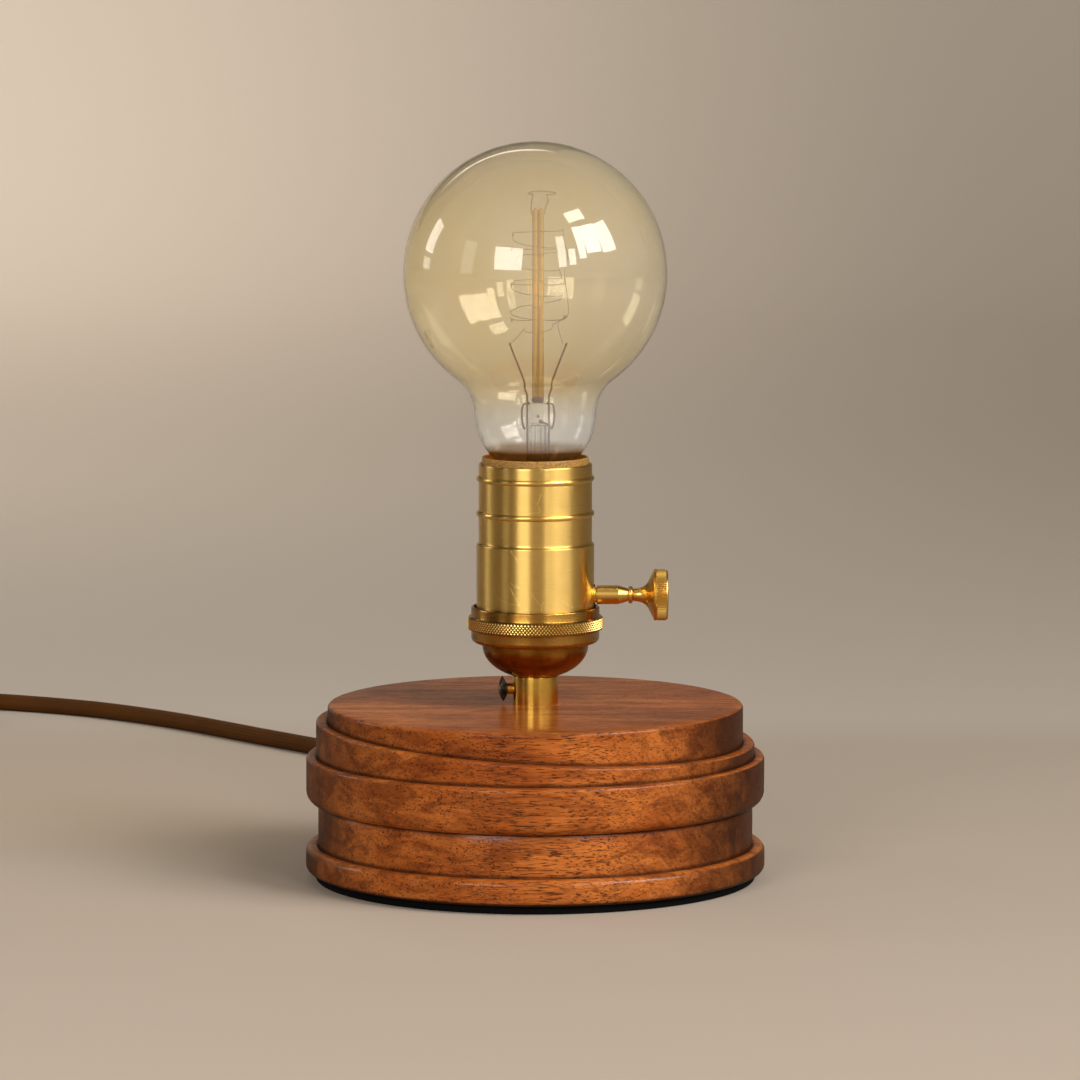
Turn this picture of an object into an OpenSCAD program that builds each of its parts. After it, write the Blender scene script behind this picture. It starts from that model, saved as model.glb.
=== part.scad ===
// Bare bulb table lamp: a round stepped wooden base, a brass lamp socket with a turn knob
// switch and a clear amber globe bulb with a caged filament. Millimetres, +Z up.
// The origin is on the table, under the centre of the base. +X points to the switch knob.

/* [Wooden base] */
// Diameter of the pad under the base
pad_d = 159.8; // [120:0.1:162]
// Thickness of the pad
pad_t = 3; // [1:0.1:5]
// Diameter of the foot step
foot_d = 166.8; // [163:0.1:180]
// Height of the foot step
foot_h = 9.5; // [7:0.1:11]
// Diameter of the waist
waist_d = 157.8; // [140:0.1:160]
// Height of the waist
waist_h = 15.5; // [14:0.1:24]
// Diameter of the middle band
band_d = 166.4; // [162:0.1:180]
// Height of the middle band
band_h = 17; // [8:0.1:26]
// Diameter of the slanted step
ledge_d = 159.2; // [150:0.1:161]
// Height of the slanted step at its centre
ledge_h = 8.7; // [6:0.1:14]
// Fall of the slanted step towards the knob, in degrees
ledge_fall = 3; // [0:0.1:4]
// Fall of the slanted step towards the front, in degrees
ledge_dip = 0.8; // [0:0.1:2]
// Diameter of the top disc
top_d = 150.8; // [120:0.1:156]
// Height of the top disc over the centre of the slanted step
top_h = 9.8; // [6:0.1:20]
// Rounding of the foot's edges
foot_round = 3; // [1:0.1:4]
// Rounding of the upper edges
edge_round = 2; // [0.5:0.1:3]
// Diameter of the wiring recess under the base
recess_d = 60; // [58:0.5:90]
// Depth of the wiring recess, from the underside of the wood
recess_h = 21; // [18.5:0.1:23]
// Clearance of fixed pieces in the wood
wood_clear = 0.4; // [0.1:0.1:1]

/* [Cord] */
// Diameter of the round cord
cord_d = 7; // [5:0.1:8]
// Height of the cord's centre where it leaves the base
outlet_z = 19.5; // [18.5:0.1:20]
// Length of the strain relief outside the base
relief_len = 22; // [20:0.5:24]
// Diameter of the strain relief's barrel in the wood
relief_d = 10; // [9.5:0.1:11]
// Diameter of each insulated conductor
wire_d = 2.6; // [1.6:0.1:2.6]

/* [Cord coil] */
// Radius of the coil's outer turn
coil_r = 48; // [44:0.5:60]
// Distance between neighbouring turns
coil_pitch = 7.7; // [7.5:0.1:9]
// Distance between the two layers
coil_step = 7.6; // [7.5:0.1:9]
// Height of the lower layer's centre
coil_z = 4.6; // [4.6:0.1:6]
// Whole turns in the coil, before its last quarter turn
coil_turns = 5; // [3:1:6]
// Thickness of the coil's ties
tie_t = 0.8; // [0.5:0.1:1]
// Width of the coil's ties
tie_w = 9; // [5:0.5:14]

/* [Plug] */
// Diameter of the plug's front
plug_d = 24.4; // [22:0.1:25]
// Length of the plug's body
plug_len = 27; // [20:0.5:36]
// Thickness of the plug's front cover
plug_cover_t = 4; // [2:0.1:6]
// Length of the blades outside the plug
blade_len = 16; // [12:0.1:18]
// Width of a blade
blade_w = 6.35; // [5:0.05:8]
// Thickness of a blade
blade_t = 1.5; // [1:0.05:2]
// Distance between the blades
blade_gap = 12.7; // [10:0.1:13]

/* [Socket base] */
// Outer diameter of the threaded nipple
nipple_d = 9.6; // [9.4:0.05:10]
// Bore of the nipple
nipple_bore = 6.6; // [6:0.05:7]
// Diameter of the hub
hub_d = 16.5; // [15:0.1:20]
// Height of the hub between the wood and the cap
hub_h = 10.4; // [9:0.1:20]
// How far the cap's wall lies inside the shell's wall
cap_inset = 1.2; // [0.9:0.1:1.5]
// Height of the cap's rounded bowl below its rim, if it closed in a point
bowl_h = 12.1; // [10:0.1:16]
// Wall of the sheet brass cap and shell
sheet_t = 0.9; // [0.6:0.05:1]
// Length of the cap's straight rim below its threaded collar
rim_h = 10.4; // [9:0.1:14]
// Length of the cap's threaded collar
collar_h = 4.8; // [3:0.1:6]

/* [Lock ring] */
// Thickness of the ring's lower band round the cap
ring_band_t = 3.9; // [3.4:0.1:4.6]
// Height of the ring's lower band
ring_band_h = 4.7; // [3:0.1:6]
// How far the knurled flange stands out past the ring's lip
ring_flange_w = 1.05; // [0.6:0.05:3]
// Height of the knurled flange
ring_flange_h = 4.8; // [3:0.1:6]
// Clearance between the shell and the ring's lip
ring_gap = 0.95; // [0.5:0.05:1.5]
// Height of the ring's lip
ring_lip_h = 3.6; // [2:0.1:5]
// Thickness of the ring's lip
ring_lip_t = 1; // [0.6:0.1:1.2]

/* [Shell] */
// Outer diameter of the shell's lower part
shell_d = 42.6; // [42:0.1:47]
// How far the shell's wall steps in at its step
shell_step = 0.8; // [0.3:0.05:1]
// Height of the shell's lower part
shell_low_h = 27.3; // [20:0.1:36]
// Height of the shell's upper part
shell_top_h = 28.5; // [24:0.1:34]
// Distance from the shell's step to its lower bead
bead_low = 10.4; // [6:0.1:12]
// Distance from the shell's step to its upper bead
bead_high = 23.1; // [15:0.1:23.1]
// Height of a bead over the shell
bead_h = 0.85; // [0.3:0.05:1]
// Height of the insulating liner over the shell
liner_proud = 2.4; // [1:0.1:4]
// Wall of the insulating liner
liner_t = 0.8; // [0.5:0.05:1]

/* [Switch] */
// Height of the switch axis over the shell's lower end
switch_h = 7.85; // [7.5:0.05:9]
// Diameter of the switch stem
stem_d = 3; // [2.4:0.1:3.4]
// Diameter of the rotor
rotor_d = 14; // [12:0.1:14.4]
// Diameter of the ferrule on the shell
ferrule_d = 8; // [6.5:0.1:9]
// Distance of the knob's outer face from the lamp's axis
knob_reach = 48.3; // [44:0.1:60]
// Diameter of the knob's grip
knob_d = 18.6; // [14:0.1:24]
// Thickness of the knob's grip
knob_t = 5.5; // [4:0.1:7]
// Diameter of the knob's sleeve
knob_sleeve_d = 6.8; // [6:0.1:7.6]
// Diameter of the knob's slim neck
knob_neck_d = 4.7; // [4.4:0.1:5.6]

/* [Thumb screw] */
// Thread diameter of the thumb screw
thumb_d = 4; // [3:0.1:4.6]
// Distance of the thumb screw's wing from the lamp's axis
thumb_reach = 10.2; // [9.8:0.1:12]
// Height of the wing
wing_h = 9.2; // [6:0.1:9.6]
// Width of the wing
wing_w = 6.4; // [5:0.1:9]
// Thickness of the wing at its middle
wing_t = 3.2; // [2.4:0.1:4]

/* [Lamp thread] */
// Middle diameter of the bulb's screw thread
thread_d = 25.4; // [25:0.1:26]
// Depth of the screw thread from its middle to its crest
thread_depth = 0.45; // [0.3:0.05:0.5]
// Rise of the thread in one turn
thread_pitch = 3.629; // [3:0.001:4]
// Clearance between the bulb's thread and the socket's
thread_clear = 0.4; // [0.35:0.05:0.6]
// Height of the socket's screw shell
screw_shell_h = 27; // [20:0.5:28]

/* [Bulb] */
// Diameter of the globe
globe_d = 95; // [80:0.5:110]
// Whole length of the bulb
bulb_len = 147; // [146:0.5:160]
// Height of the bulb's metal cap with its contact
bulb_cap_h = 29; // [27:0.1:30]
// Diameter of the neck under the globe
neck_d = 43.8; // [40:0.1:46]
// Distance from the globe's centre to the neck
neck_drop = 51.5; // [48:0.5:53]
// Thickness of the glass
glass_t = 0.7; // [0.5:0.05:1]
// Distance of the filament mount from the bulb's axis
mount_shift = 1; // [0:0.1:2]
// Width of the twin glass rod
rod_w = 4.2; // [3:0.1:5]
// Length of the twin glass rod
rod_len = 70; // [60:1:72]
// Radius of the filament's cage
cage_r = 8.8; // [7:0.1:12]
// Height of the filament's cage
cage_h = 35.6; // [24:0.1:40]
// Distance from the top of the glass rod to the top of the cage
cage_top = 8.4; // [6:0.1:12]
// Turns of each half of the filament
cage_turns = 4; // [2:1:5]
// Diameter of the filament
filament_d = 0.5; // [0.3:0.05:0.6]
// Diameter of the lead-in wires
lead_d = 0.8; // [0.5:0.05:1]

/* [Hidden] */
$fn = 96;

// Clearances: flat seats, running fits, and fixed pieces beside each other
seat = 0.1;
run_fit = 0.05;
loose = 0.3;

// Heights of the base's steps
z_wood = pad_t;
z_foot = z_wood + foot_h;
z_waist = z_foot + waist_h;
z_band = z_waist + band_h;
z_ledge = z_band + ledge_h;
z_top = z_ledge + top_h;
z_recess = z_wood + recess_h;

// Nipple and its nut in the recess
washer_t = 1.4;
nut_t = 6;
nut_af = 14;
nipple_end = 4.6;
z_nut = z_recess - washer_t - nut_t;
z_nipple = z_nut - nipple_end;

// Socket cap: the bowl is a quarter ellipse, cut flat where it meets the hub
z_hub = z_top + hub_h;
cap_r = shell_d / 2 - sheet_t - cap_inset;
z_bowl = z_hub + bowl_h * sqrt(1 - pow(hub_d / 2 / cap_r, 2));
z_collar = z_bowl + rim_h;
z_collar_top = z_collar + collar_h;
cap_in = cap_r - sheet_t;
spigot_r = hub_d / 2 - 1.75;
spigot_head_t = 0.9;
z_spigot = z_hub + sheet_t + spigot_head_t;
disc_drop = 4.8;
disc_t = 0.6;
z_disc = z_bowl - disc_drop;
z_thumb = z_top + hub_h / 2 + 0.2;

// Lock ring under the shell
ring_bore = cap_r + seat;
ring_band_r = ring_bore + ring_band_t;
ring_lip_r = shell_d / 2 + ring_gap + ring_lip_t;
ring_flange_r = ring_lip_r + ring_flange_w;
z_ring_top = z_collar + ring_lip_h + loose;
z_flange_top = z_ring_top - ring_lip_h;
z_flange = z_flange_top - ring_flange_h;
z_ring = z_flange - ring_band_h;

// Shell and liner
z_shell = z_collar + 2 * run_fit;
z_step = z_shell + shell_low_h;
z_shell_top = z_step + shell_top_h;
shell_in = shell_d / 2 - sheet_t;
shell_top_r = shell_d / 2 - shell_step;
liner_r = shell_top_r - sheet_t - loose;
liner_in = liner_r - liner_t;
z_liner = z_collar_top + seat;
z_liner_top = z_shell_top + liner_proud;

// Switch
z_axis = z_shell + switch_h;
rotor_bore = rotor_d / 2 + loose;
rotor_in = 7.4;
rotor_out = 12;
bearing_t = 1.5;
ferrule_face = shell_d / 2 + 0.4;
ferrule_barrel_r = 2.5;
stem_in = 5;
stem_out = 31;

// Small fasteners and contacts
jacket_end = 14;
clamp_y = 22;
clamp_w = 8;
ear_x = 11;
ear_t = 2.5;
screw_r = 1.4;
screw_len = 9;
rivet_r = 1.2;
rivet_len = 6;
rivet_at = 10.2;
terminal_r = 1.7;
terminal_len = 5;
leaf_w = 7;
leaf_t = 0.8;
wire_loop = 4.4;

// Insulating body of the switch and what stands on it
housing_r = min(liner_in, cap_in) - loose;
skirt_t = 1.5;
skirt_z = z_bowl - (bowl_h - sheet_t) * sqrt(1 - pow(housing_r / cap_in, 2)) + seat;
z_housing = z_bowl + 1.2;
z_body_top = z_axis + 16;
pocket_y = 13;
pocket_top = z_housing + 12;
z_terminal = z_housing + 6;
contact_t = 0.5;
dimple_t = 0.3;
contact_gap = 0.2;
shell_floor = 0.6;
z_screw_top = z_body_top + screw_shell_h;

// Bulb
z_tip = z_body_top + contact_t + dimple_t + contact_gap;
tip_h = 2;
insulator_h = 4;
z_cap = z_tip + tip_h + insulator_h;
z_cap_top = z_tip + bulb_cap_h;
cap_floor = 1;
cap_rim_h = 2;
cap_bore = thread_d / 2 - thread_depth - 0.5;
z_globe = z_tip + bulb_len - globe_d / 2;
z_neck = z_globe - neck_drop;
skirt_r = cap_bore - 0.4;
z_skirt = z_cap + 12;
stem_r = 3.45;
stem_t = 1.1;
stem_rise = 12;
z_stem = z_skirt + stem_rise;
press_h = 8;
z_rod = z_neck + 5;
z_press = z_rod - press_h;
z_rod_top = z_rod + rod_len;
z_cage_top = z_rod_top - cage_top;
z_cage = z_cage_top - cage_h;
lead_x = stem_r + lead_d / 2 + 0.05;
lead_top = [10.2, z_cage - 5];

// Cord: the places that its centre passes, from inside the outlet to the coil
cord_r = cord_d / 2;
outlet_y = waist_d / 2;
cord_path = [
    [0, 80, 19.5], [0, 91, 19.5], [0, 103, 19.5], [0, 118, 19], [0, 133, 16.5],
    [0, 148, 12.2], [-1, 162, 7.8], [-4, 176, 4.8], [-9, 190, 3.6], [-16, 203, 3.5],
    [-24, 215.5, 3.5], [-33.5, 227.5, 3.5], [-43.5, 239, 3.5], [-53.5, 250.5, 3.5],
    [-63.5, 262, 3.5], [-73.5, 273.5, 3.5], [-83.5, 285, 3.5], [-93.5, 297, 3.5],
    [-104, 309.5, 3.5], [-115, 322.5, 3.5], [-126, 336, 3.5], [-137.5, 350, 3.5],
    [-149.5, 364, 3.5], [-162.5, 377.5, 3.5], [-176.5, 390.5, 3.5], [-191.5, 402.5, 3.5],
    [-207.5, 412.5, 3.5], [-224, 420.5, 3.6], [-241, 426, 3.9], [-257, 429.5, 4.3],
    [-273, 431, 4.6], [-289, 431, 4.6]];

// Coil: it winds inwards below, climbs a layer where it turns back, and winds outwards above
coil_in = cord_path[len(cord_path) - 1];
coil_c = [coil_in[0] - cord_d, coil_in[1] - coil_r];
coil_last = coil_turns + 0.25;
coil_mid = coil_last / 2;
coil_rings = 24;
tie_turns = [0.75, 0.375];

// Plug beside the coil
plug_x = coil_c[0] - coil_r;
tail_y = coil_c[1] - cord_d;
tail_len = 40;
sleeve_len = 22;
plug_z = coil_z + coil_step;
sleeve_y = tail_y - tail_len;
body_y = sleeve_y - sleeve_len;
face_y = body_y - plug_len;

function unit(v) = v / norm(v);
function arc(c, r, a0, a1, n = 6) =
    [for (i = [0:n]) let (a = a0 + (a1 - a0) * i / n) [c[0] + r * cos(a), c[1] + r * sin(a)]];
function bezier(a, b, c, d, n = 8) =
    [for (i = [0:n]) let (t = i / n, s = 1 - t)
        s * s * s * a + 3 * s * s * t * b + 3 * s * t * t * c + t * t * t * d];
function rest_of(p) = [for (i = [1:len(p) - 1]) p[i]];
function ease(t) = t <= 0 ? 0 : t >= 1 ? 1 : (1 - cos(180 * t)) / 2;

// Directions of a path, and a side direction carried along it without twisting
function heading(p, i) =
    i == 0 ? unit(p[1] - p[0])
    : i == len(p) - 1 ? unit(p[i] - p[i - 1])
    : unit(unit(p[i + 1] - p[i]) + unit(p[i] - p[i - 1]));
function square_to(n, t) = unit(n - (n * t) * t);
function sides_of(p, start) =
    [for (i = 0, n = square_to(start, heading(p, 0)); i < len(p);
        i = i + 1, n = i < len(p) ? square_to(n, heading(p, i)) : n) n];

// A tube along a path, as one closed surface of triangles
module tube(p, r, sides, start = [0, 0, 1]) {
    normals = sides_of(p, start);
    last = (len(p) - 1) * sides;
    points = [for (i = [0:len(p) - 1], k = [0:sides - 1])
        let (t = heading(p, i), n = normals[i], a = 360 * k / sides)
            p[i] + r * (cos(a) * n + sin(a) * cross(t, n))];
    skin = [for (i = [0:len(p) - 2], k = [0:sides - 1])
        let (a = i * sides + k, b = i * sides + (k + 1) % sides)
            each [[a, a + sides, b + sides], [a, b + sides, b]]];
    ends = [for (k = [1:sides - 2]) each [[0, k, k + 1], [last, last + k + 1, last + k]]];
    polyhedron(points, concat(skin, ends), convexity = 10);
}

module along_x(x) {
    translate([x, 0, 0]) rotate([0, 90, 0]) children();
}

module along_y(y) {
    translate([0, y, 0]) rotate([-90, 0, 0]) children();
}

// A screw thread is a round section whose centre circles the axis once in each pitch
module thread_core(r, z0, z1, sides = 20, steps = 6) {
    n = ceil((z1 - z0) / thread_pitch * steps);
    points = [for (i = [0:n], k = [0:sides - 1])
        let (z = z0 + (z1 - z0) * i / n, turn = 360 * z / thread_pitch, a = 360 * k / sides)
            [thread_depth * cos(turn) + r * cos(a), thread_depth * sin(turn) + r * sin(a), z]];
    last = n * sides;
    skin = [for (i = [0:n - 1], k = [0:sides - 1])
        let (a = i * sides + k, b = i * sides + (k + 1) % sides)
            each [[a, a + sides, b + sides], [a, b + sides, b]]];
    ends = [for (k = [1:sides - 2]) each [[0, k, k + 1], [last, last + k + 1, last + k]]];
    polyhedron(points, concat(skin, ends), convexity = 10);
}

// ---- Base ----

module wood_base() {
    foot_r = foot_d / 2;
    waist_r = waist_d / 2;
    band_r = band_d / 2;
    under = band_r - waist_r;
    color([0.45, 0.2, 0.1]) difference() {
        union() {
            rotate_extrude() polygon(concat(
                [[0, z_wood]],
                arc([foot_r - foot_round, z_wood + foot_round], foot_round, -90, 0),
                arc([foot_r - foot_round, z_foot - foot_round], foot_round, 0, 90),
                [[waist_r, z_foot]],
                arc([waist_r, z_waist + under], under, -90, 0),
                arc([band_r - edge_round, z_band - edge_round], edge_round, 0, 90),
                [[0, z_band]]));
            difference() {
                translate([0, 0, z_waist]) cylinder(d = ledge_d, h = z_top - z_waist);
                translate([0, 0, z_ledge]) rotate([ledge_dip, ledge_fall, 0])
                    translate([-ledge_d, -ledge_d, 0]) cube([2 * ledge_d, 2 * ledge_d, 2 * top_h]);
            }
            rotate_extrude() polygon(concat(
                [[0, z_waist], [top_d / 2, z_waist]],
                arc([top_d / 2 - edge_round, z_top - edge_round], edge_round, 0, 90),
                [[0, z_top]]));
        }
        translate([0, 0, z_wood - 1]) cylinder(d = recess_d, h = recess_h + 1);
        translate([0, 0, z_recess - 1]) cylinder(r = nipple_d / 2 + wood_clear, h = z_top);
        translate([0, 0, outlet_z]) along_y(recess_d / 4)
            cylinder(r = relief_d / 2 + seat, h = outlet_y);
        clamp_places() cylinder(r = screw_r + run_fit, h = screw_len + seat);
    }
}

module base_pad() {
    color([0.04, 0.04, 0.045]) cylinder(d = pad_d, h = pad_t);
}

module nipple() {
    color([0.72, 0.7, 0.62]) difference() {
        translate([0, 0, z_nipple]) cylinder(d = nipple_d, h = z_spigot - z_nipple);
        translate([0, 0, z_nipple - 1]) cylinder(d = nipple_bore, h = z_spigot);
    }
}

module nipple_washer() {
    color([0.6, 0.6, 0.6]) translate([0, 0, z_recess - washer_t]) difference() {
        cylinder(r = 12, h = washer_t);
        translate([0, 0, -1]) cylinder(r = nipple_d / 2 + loose, h = washer_t + 2);
    }
}

module nipple_nut() {
    color([0.66, 0.66, 0.64]) translate([0, 0, z_nut]) difference() {
        cylinder(d = nut_af / cos(30), h = nut_t, $fn = 6);
        translate([0, 0, -1]) cylinder(r = nipple_d / 2 + run_fit, h = nut_t + 2);
    }
}

module nipple_bushing() {
    color([0.1, 0.1, 0.1]) difference() {
        union() {
            translate([0, 0, z_spigot]) cylinder(d = nipple_d - 0.4, h = 1.2);
            translate([0, 0, z_spigot - 3]) cylinder(r = nipple_bore / 2 - run_fit, h = 3.1);
        }
        translate([0, 0, z_spigot - 4]) cylinder(r = wire_d + 0.25, h = 6);
    }
}

// ---- Cord and wiring inside the base ----

module clamp_places() {
    for (side = [-1, 1]) translate([side * ear_x, clamp_y, z_recess]) children();
}

module cord_inner() {
    color([0.42, 0.27, 0.08]) translate([0, 0, outlet_z]) along_y(jacket_end)
        cylinder(r = cord_r, h = cord_path[0][1] - jacket_end);
}

module cord_clamp() {
    ear_z = z_recess - ear_t;
    hump_r = cord_r + 1.6;
    color([0.85, 0.84, 0.8]) difference() {
        union() {
            translate([-ear_x - 3, clamp_y - clamp_w / 2, ear_z])
                cube([2 * ear_x + 6, clamp_w, ear_t]);
            translate([-hump_r, clamp_y - clamp_w / 2, outlet_z])
                cube([2 * hump_r, clamp_w, z_recess - outlet_z]);
            translate([0, 0, outlet_z]) along_y(clamp_y - clamp_w / 2)
                cylinder(r = hump_r, h = clamp_w);
        }
        translate([0, 0, outlet_z]) along_y(clamp_y - clamp_w)
            cylinder(r = cord_r + run_fit, h = 2 * clamp_w);
        clamp_places() translate([0, 0, -ear_t - 1]) cylinder(r = screw_r + seat, h = ear_t + 2);
    }
}

module clamp_screws() {
    color([0.7, 0.7, 0.68]) clamp_places() {
        translate([0, 0, -ear_t]) cylinder(r = screw_r, h = ear_t + screw_len);
        difference() {
            translate([0, 0, -ear_t - 1.6]) cylinder(r = 2.7, h = 1.6);
            translate([-3, -0.4, -ear_t - 2.6]) cube([6, 0.8, 1.7]);
        }
    }
}

module strain_relief() {
    flange = [outlet_y + seat, outlet_y + 2];
    mouth = outlet_y + 2 + relief_len;
    color([0.06, 0.055, 0.05]) translate([0, 0, outlet_z]) difference() {
        along_y(0) rotate_extrude() polygon([
            [cord_r + run_fit, outlet_y - 14], [relief_d / 2, outlet_y - 14],
            [relief_d / 2, flange[0]], [relief_d / 2 + 1.4, flange[0]],
            [relief_d / 2 + 1.4, flange[1]], [relief_d / 2 + 0.5, flange[1] + 0.6],
            [cord_r + 0.6, mouth], [cord_r + run_fit, mouth]]);
        for (y = [1:4], side = [-1, 1])
            translate([side * 5.2, flange[1] + 4 * y, 0]) cube([2, 1.4, 14], center = true);
    }
}

// One conductor: out of the jacket, down round the nut, up the nipple and out to its terminal
function wire_path(side) =
    let (x = side * (wire_d / 2 + seat), y = -side, gap = z_housing - z_disc, w = wire_d,
        bend = [x, jacket_end * 0.92, outlet_z], low = [x, jacket_end * 0.28, z_nipple - wire_loop])
    concat(
        [[x, jacket_end, outlet_z]],
        bezier(bend, [x, jacket_end * 0.78, outlet_z], [x, jacket_end * 0.78, low[2]], low, 6),
        rest_of(bezier(low, [x, jacket_end * 0.1, low[2]], [x, 0, z_nipple - wire_loop / 2],
            [x, 0, z_nipple + w], 4)),
        [for (i = [1:3]) [x, 0, z_nipple + w + (z_spigot - z_nipple) * i / 3]],
        bezier([x, 0, z_spigot + 1.4 * w], [x, 0, z_disc + gap * 0.1],
            [x, y * pocket_y * 0.1, z_disc + gap * 0.5],
            [x * 0.5, y * pocket_y * 0.55, z_disc + gap * 0.5], 4),
        [[x * 0.2, y * pocket_y * 0.9, z_disc + gap * 0.62],
            [0, y * (pocket_y + 0.6 * w), z_housing - 0.2 * w],
            [0, y * (pocket_y + 0.7 * w), z_terminal - 1.4 * w]]);

module wire_hot() {
    color([0.08, 0.08, 0.08]) tube(wire_path(-1), wire_d / 2, 8, [1, 0, 0]);
}

module wire_neutral() {
    color([0.85, 0.84, 0.8]) tube(wire_path(1), wire_d / 2, 8, [1, 0, 0]);
}

// ---- Socket ----

// Right half of the bowl's outline, from the flat bottom up to the rim
function bowl_line(inset, n = 12) =
    let (rx = cap_r - inset, rz = bowl_h - inset, a0 = acos(min(1, hub_d / 2 / rx)))
        [for (i = [0:n]) let (a = a0 * (1 - i / n)) [rx * cos(a), z_bowl - rz * sin(a)]];

module cap_hub() {
    color([0.78, 0.56, 0.24]) difference() {
        union() {
            translate([0, 0, z_top]) cylinder(d = hub_d, h = hub_h);
            translate([0, 0, z_top + 1]) cylinder(r = spigot_r, h = z_spigot - z_top - 1);
            translate([0, 0, z_spigot - spigot_head_t])
                cylinder(r = spigot_r + 0.8, h = spigot_head_t);
        }
        translate([0, 0, z_top - 1]) cylinder(r = nipple_d / 2 + run_fit, h = z_spigot);
        translate([0, 0, z_thumb]) along_x(-hub_d) cylinder(r = thumb_d / 2 + run_fit, h = hub_d);
    }
}

module socket_cap() {
    outer = bowl_line(0);
    inner = bowl_line(sheet_t);
    flat = spigot_r + run_fit;
    color([0.5, 0.3, 0.1]) rotate_extrude() polygon(concat(
        [[flat, z_hub]], outer,
        [[cap_r, z_collar], [shell_in - run_fit, z_collar],
            [shell_in - run_fit, z_collar_top], [cap_in, z_collar_top]],
        [for (i = [len(inner) - 1:-1:0]) [inner[i][0], max(inner[i][1], z_hub + sheet_t)]],
        [[flat, z_hub + sheet_t]]));
}

module cap_disc() {
    edge = cap_in * sqrt(1 - pow(disc_drop / (bowl_h - sheet_t), 2));
    color([0.3, 0.24, 0.17]) translate([0, 0, z_disc]) difference() {
        cylinder(r = edge - seat, h = disc_t);
        translate([0, 0, -1]) cylinder(r = 6, h = 3);
    }
}

module lock_ring() {
    edge = 0.5;
    foot_r = 1.6;
    color([0.56, 0.37, 0.13]) rotate_extrude() polygon(concat(
        [[ring_bore, z_ring], [ring_band_r - foot_r - 0.6, z_ring]],
        arc([ring_band_r - foot_r, z_ring + foot_r], foot_r, -60, 0),
        [[ring_band_r, z_flange - 0.3], [ring_flange_r - edge, z_flange],
            [ring_flange_r, z_flange + edge], [ring_flange_r, z_flange_top - edge],
            [ring_flange_r - edge, z_flange_top], [ring_lip_r, z_flange_top + 0.2]],
        arc([ring_lip_r - edge, z_ring_top - edge], edge, 0, 90, 3),
        [[ring_lip_r - ring_lip_t, z_ring_top], [ring_lip_r - ring_lip_t, z_collar - seat],
            [ring_bore, z_collar - seat]]));
}

// A bead is a shallow round rib pressed out of the shell
bead_r = 1.1;
function bead(z) = arc([shell_top_r + bead_h - bead_r, z], bead_r, -76, 76, 8);

module socket_shell() {
    low_r = shell_d / 2;
    top_r = shell_top_r;
    in_r = top_r - sheet_t;
    color([0.8, 0.58, 0.25]) difference() {
        rotate_extrude() polygon(concat(
            [[shell_in, z_shell], [low_r, z_shell], [low_r, z_step - 0.5], [top_r, z_step]],
            bead(z_step + bead_low), bead(z_step + bead_high),
            [[top_r, z_shell_top - 0.9]],
            arc([top_r - 0.5, z_shell_top - 0.5], 0.5, 0, 90, 3),
            [[in_r, z_shell_top], [in_r, z_step], [shell_in, z_step - 1]]));
        translate([0, 0, z_axis]) along_x(shell_in - 3)
            cylinder(r = ferrule_barrel_r + seat, h = 6);
    }
}

module shell_ferrule() {
    color([0.72, 0.5, 0.22]) translate([0, 0, z_axis]) difference() {
        union() {
            difference() {
                along_x(shell_in) cylinder(d = ferrule_d, h = ferrule_face - shell_in);
                translate([0, 0, -ferrule_d]) cylinder(d = shell_d, h = 2 * ferrule_d);
            }
            along_x(shell_in - 0.6)
                cylinder(r = ferrule_barrel_r, h = ferrule_face - shell_in + 0.6);
        }
        along_x(shell_in - 3) cylinder(r = stem_d / 2 + run_fit, h = 8);
    }
}

module insulating_liner() {
    slot_r = ferrule_barrel_r + loose;
    color([0.36, 0.24, 0.12]) difference() {
        translate([0, 0, z_liner]) cylinder(r = liner_r, h = z_liner_top - z_liner);
        translate([0, 0, z_liner - 1]) cylinder(r = liner_in, h = z_liner_top);
        translate([0, 0, z_axis]) along_x(liner_in - 2) cylinder(r = slot_r, h = 6);
        translate([liner_in - 2, -slot_r, z_liner - 1]) cube([6, 2 * slot_r, z_axis - z_liner + 1]);
    }
}

module switch_housing() {
    color([0.2, 0.13, 0.09]) difference() {
        union() {
            translate([0, 0, z_housing]) cylinder(r = housing_r, h = z_body_top - z_housing);
            translate([0, 0, skirt_z]) difference() {
                cylinder(r = housing_r, h = z_housing - skirt_z);
                translate([0, 0, -1]) cylinder(r = housing_r - skirt_t, h = z_housing);
            }
        }
        translate([0, 0, z_axis]) along_x(-rotor_in - loose)
            cylinder(r = rotor_bore, h = rotor_in + shell_d);
        translate([-leaf_w / 2 - loose, -leaf_t / 2 - loose, z_axis])
            cube([leaf_w + 2 * loose, leaf_t + 2 * loose, z_body_top]);
        for (side = [0, 180]) rotate(side) {
            translate([-8, pocket_y, skirt_z - 1]) cube([16, housing_r, pocket_top - skirt_z + 1]);
            translate([0, 0, z_terminal]) along_y(pocket_y - terminal_len - seat)
                cylinder(r = terminal_r + seat, h = terminal_len + 1);
        }
        rivet_places() translate([0, 0, -rivet_len - seat])
            cylinder(r = rivet_r + seat, h = rivet_len + 1);
    }
}

module rotor_bearing() {
    color([0.7, 0.55, 0.3]) translate([0, 0, z_axis]) difference() {
        along_x(rotor_out + loose) cylinder(r = rotor_bore - seat, h = bearing_t);
        along_x(rotor_out - 1) cylinder(r = stem_d / 2 + run_fit, h = bearing_t + 3);
    }
}

// ---- Contacts ----

module rivet_places() {
    for (side = [-1, 1]) translate([side * rivet_at, 0, z_body_top]) children();
}

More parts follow.
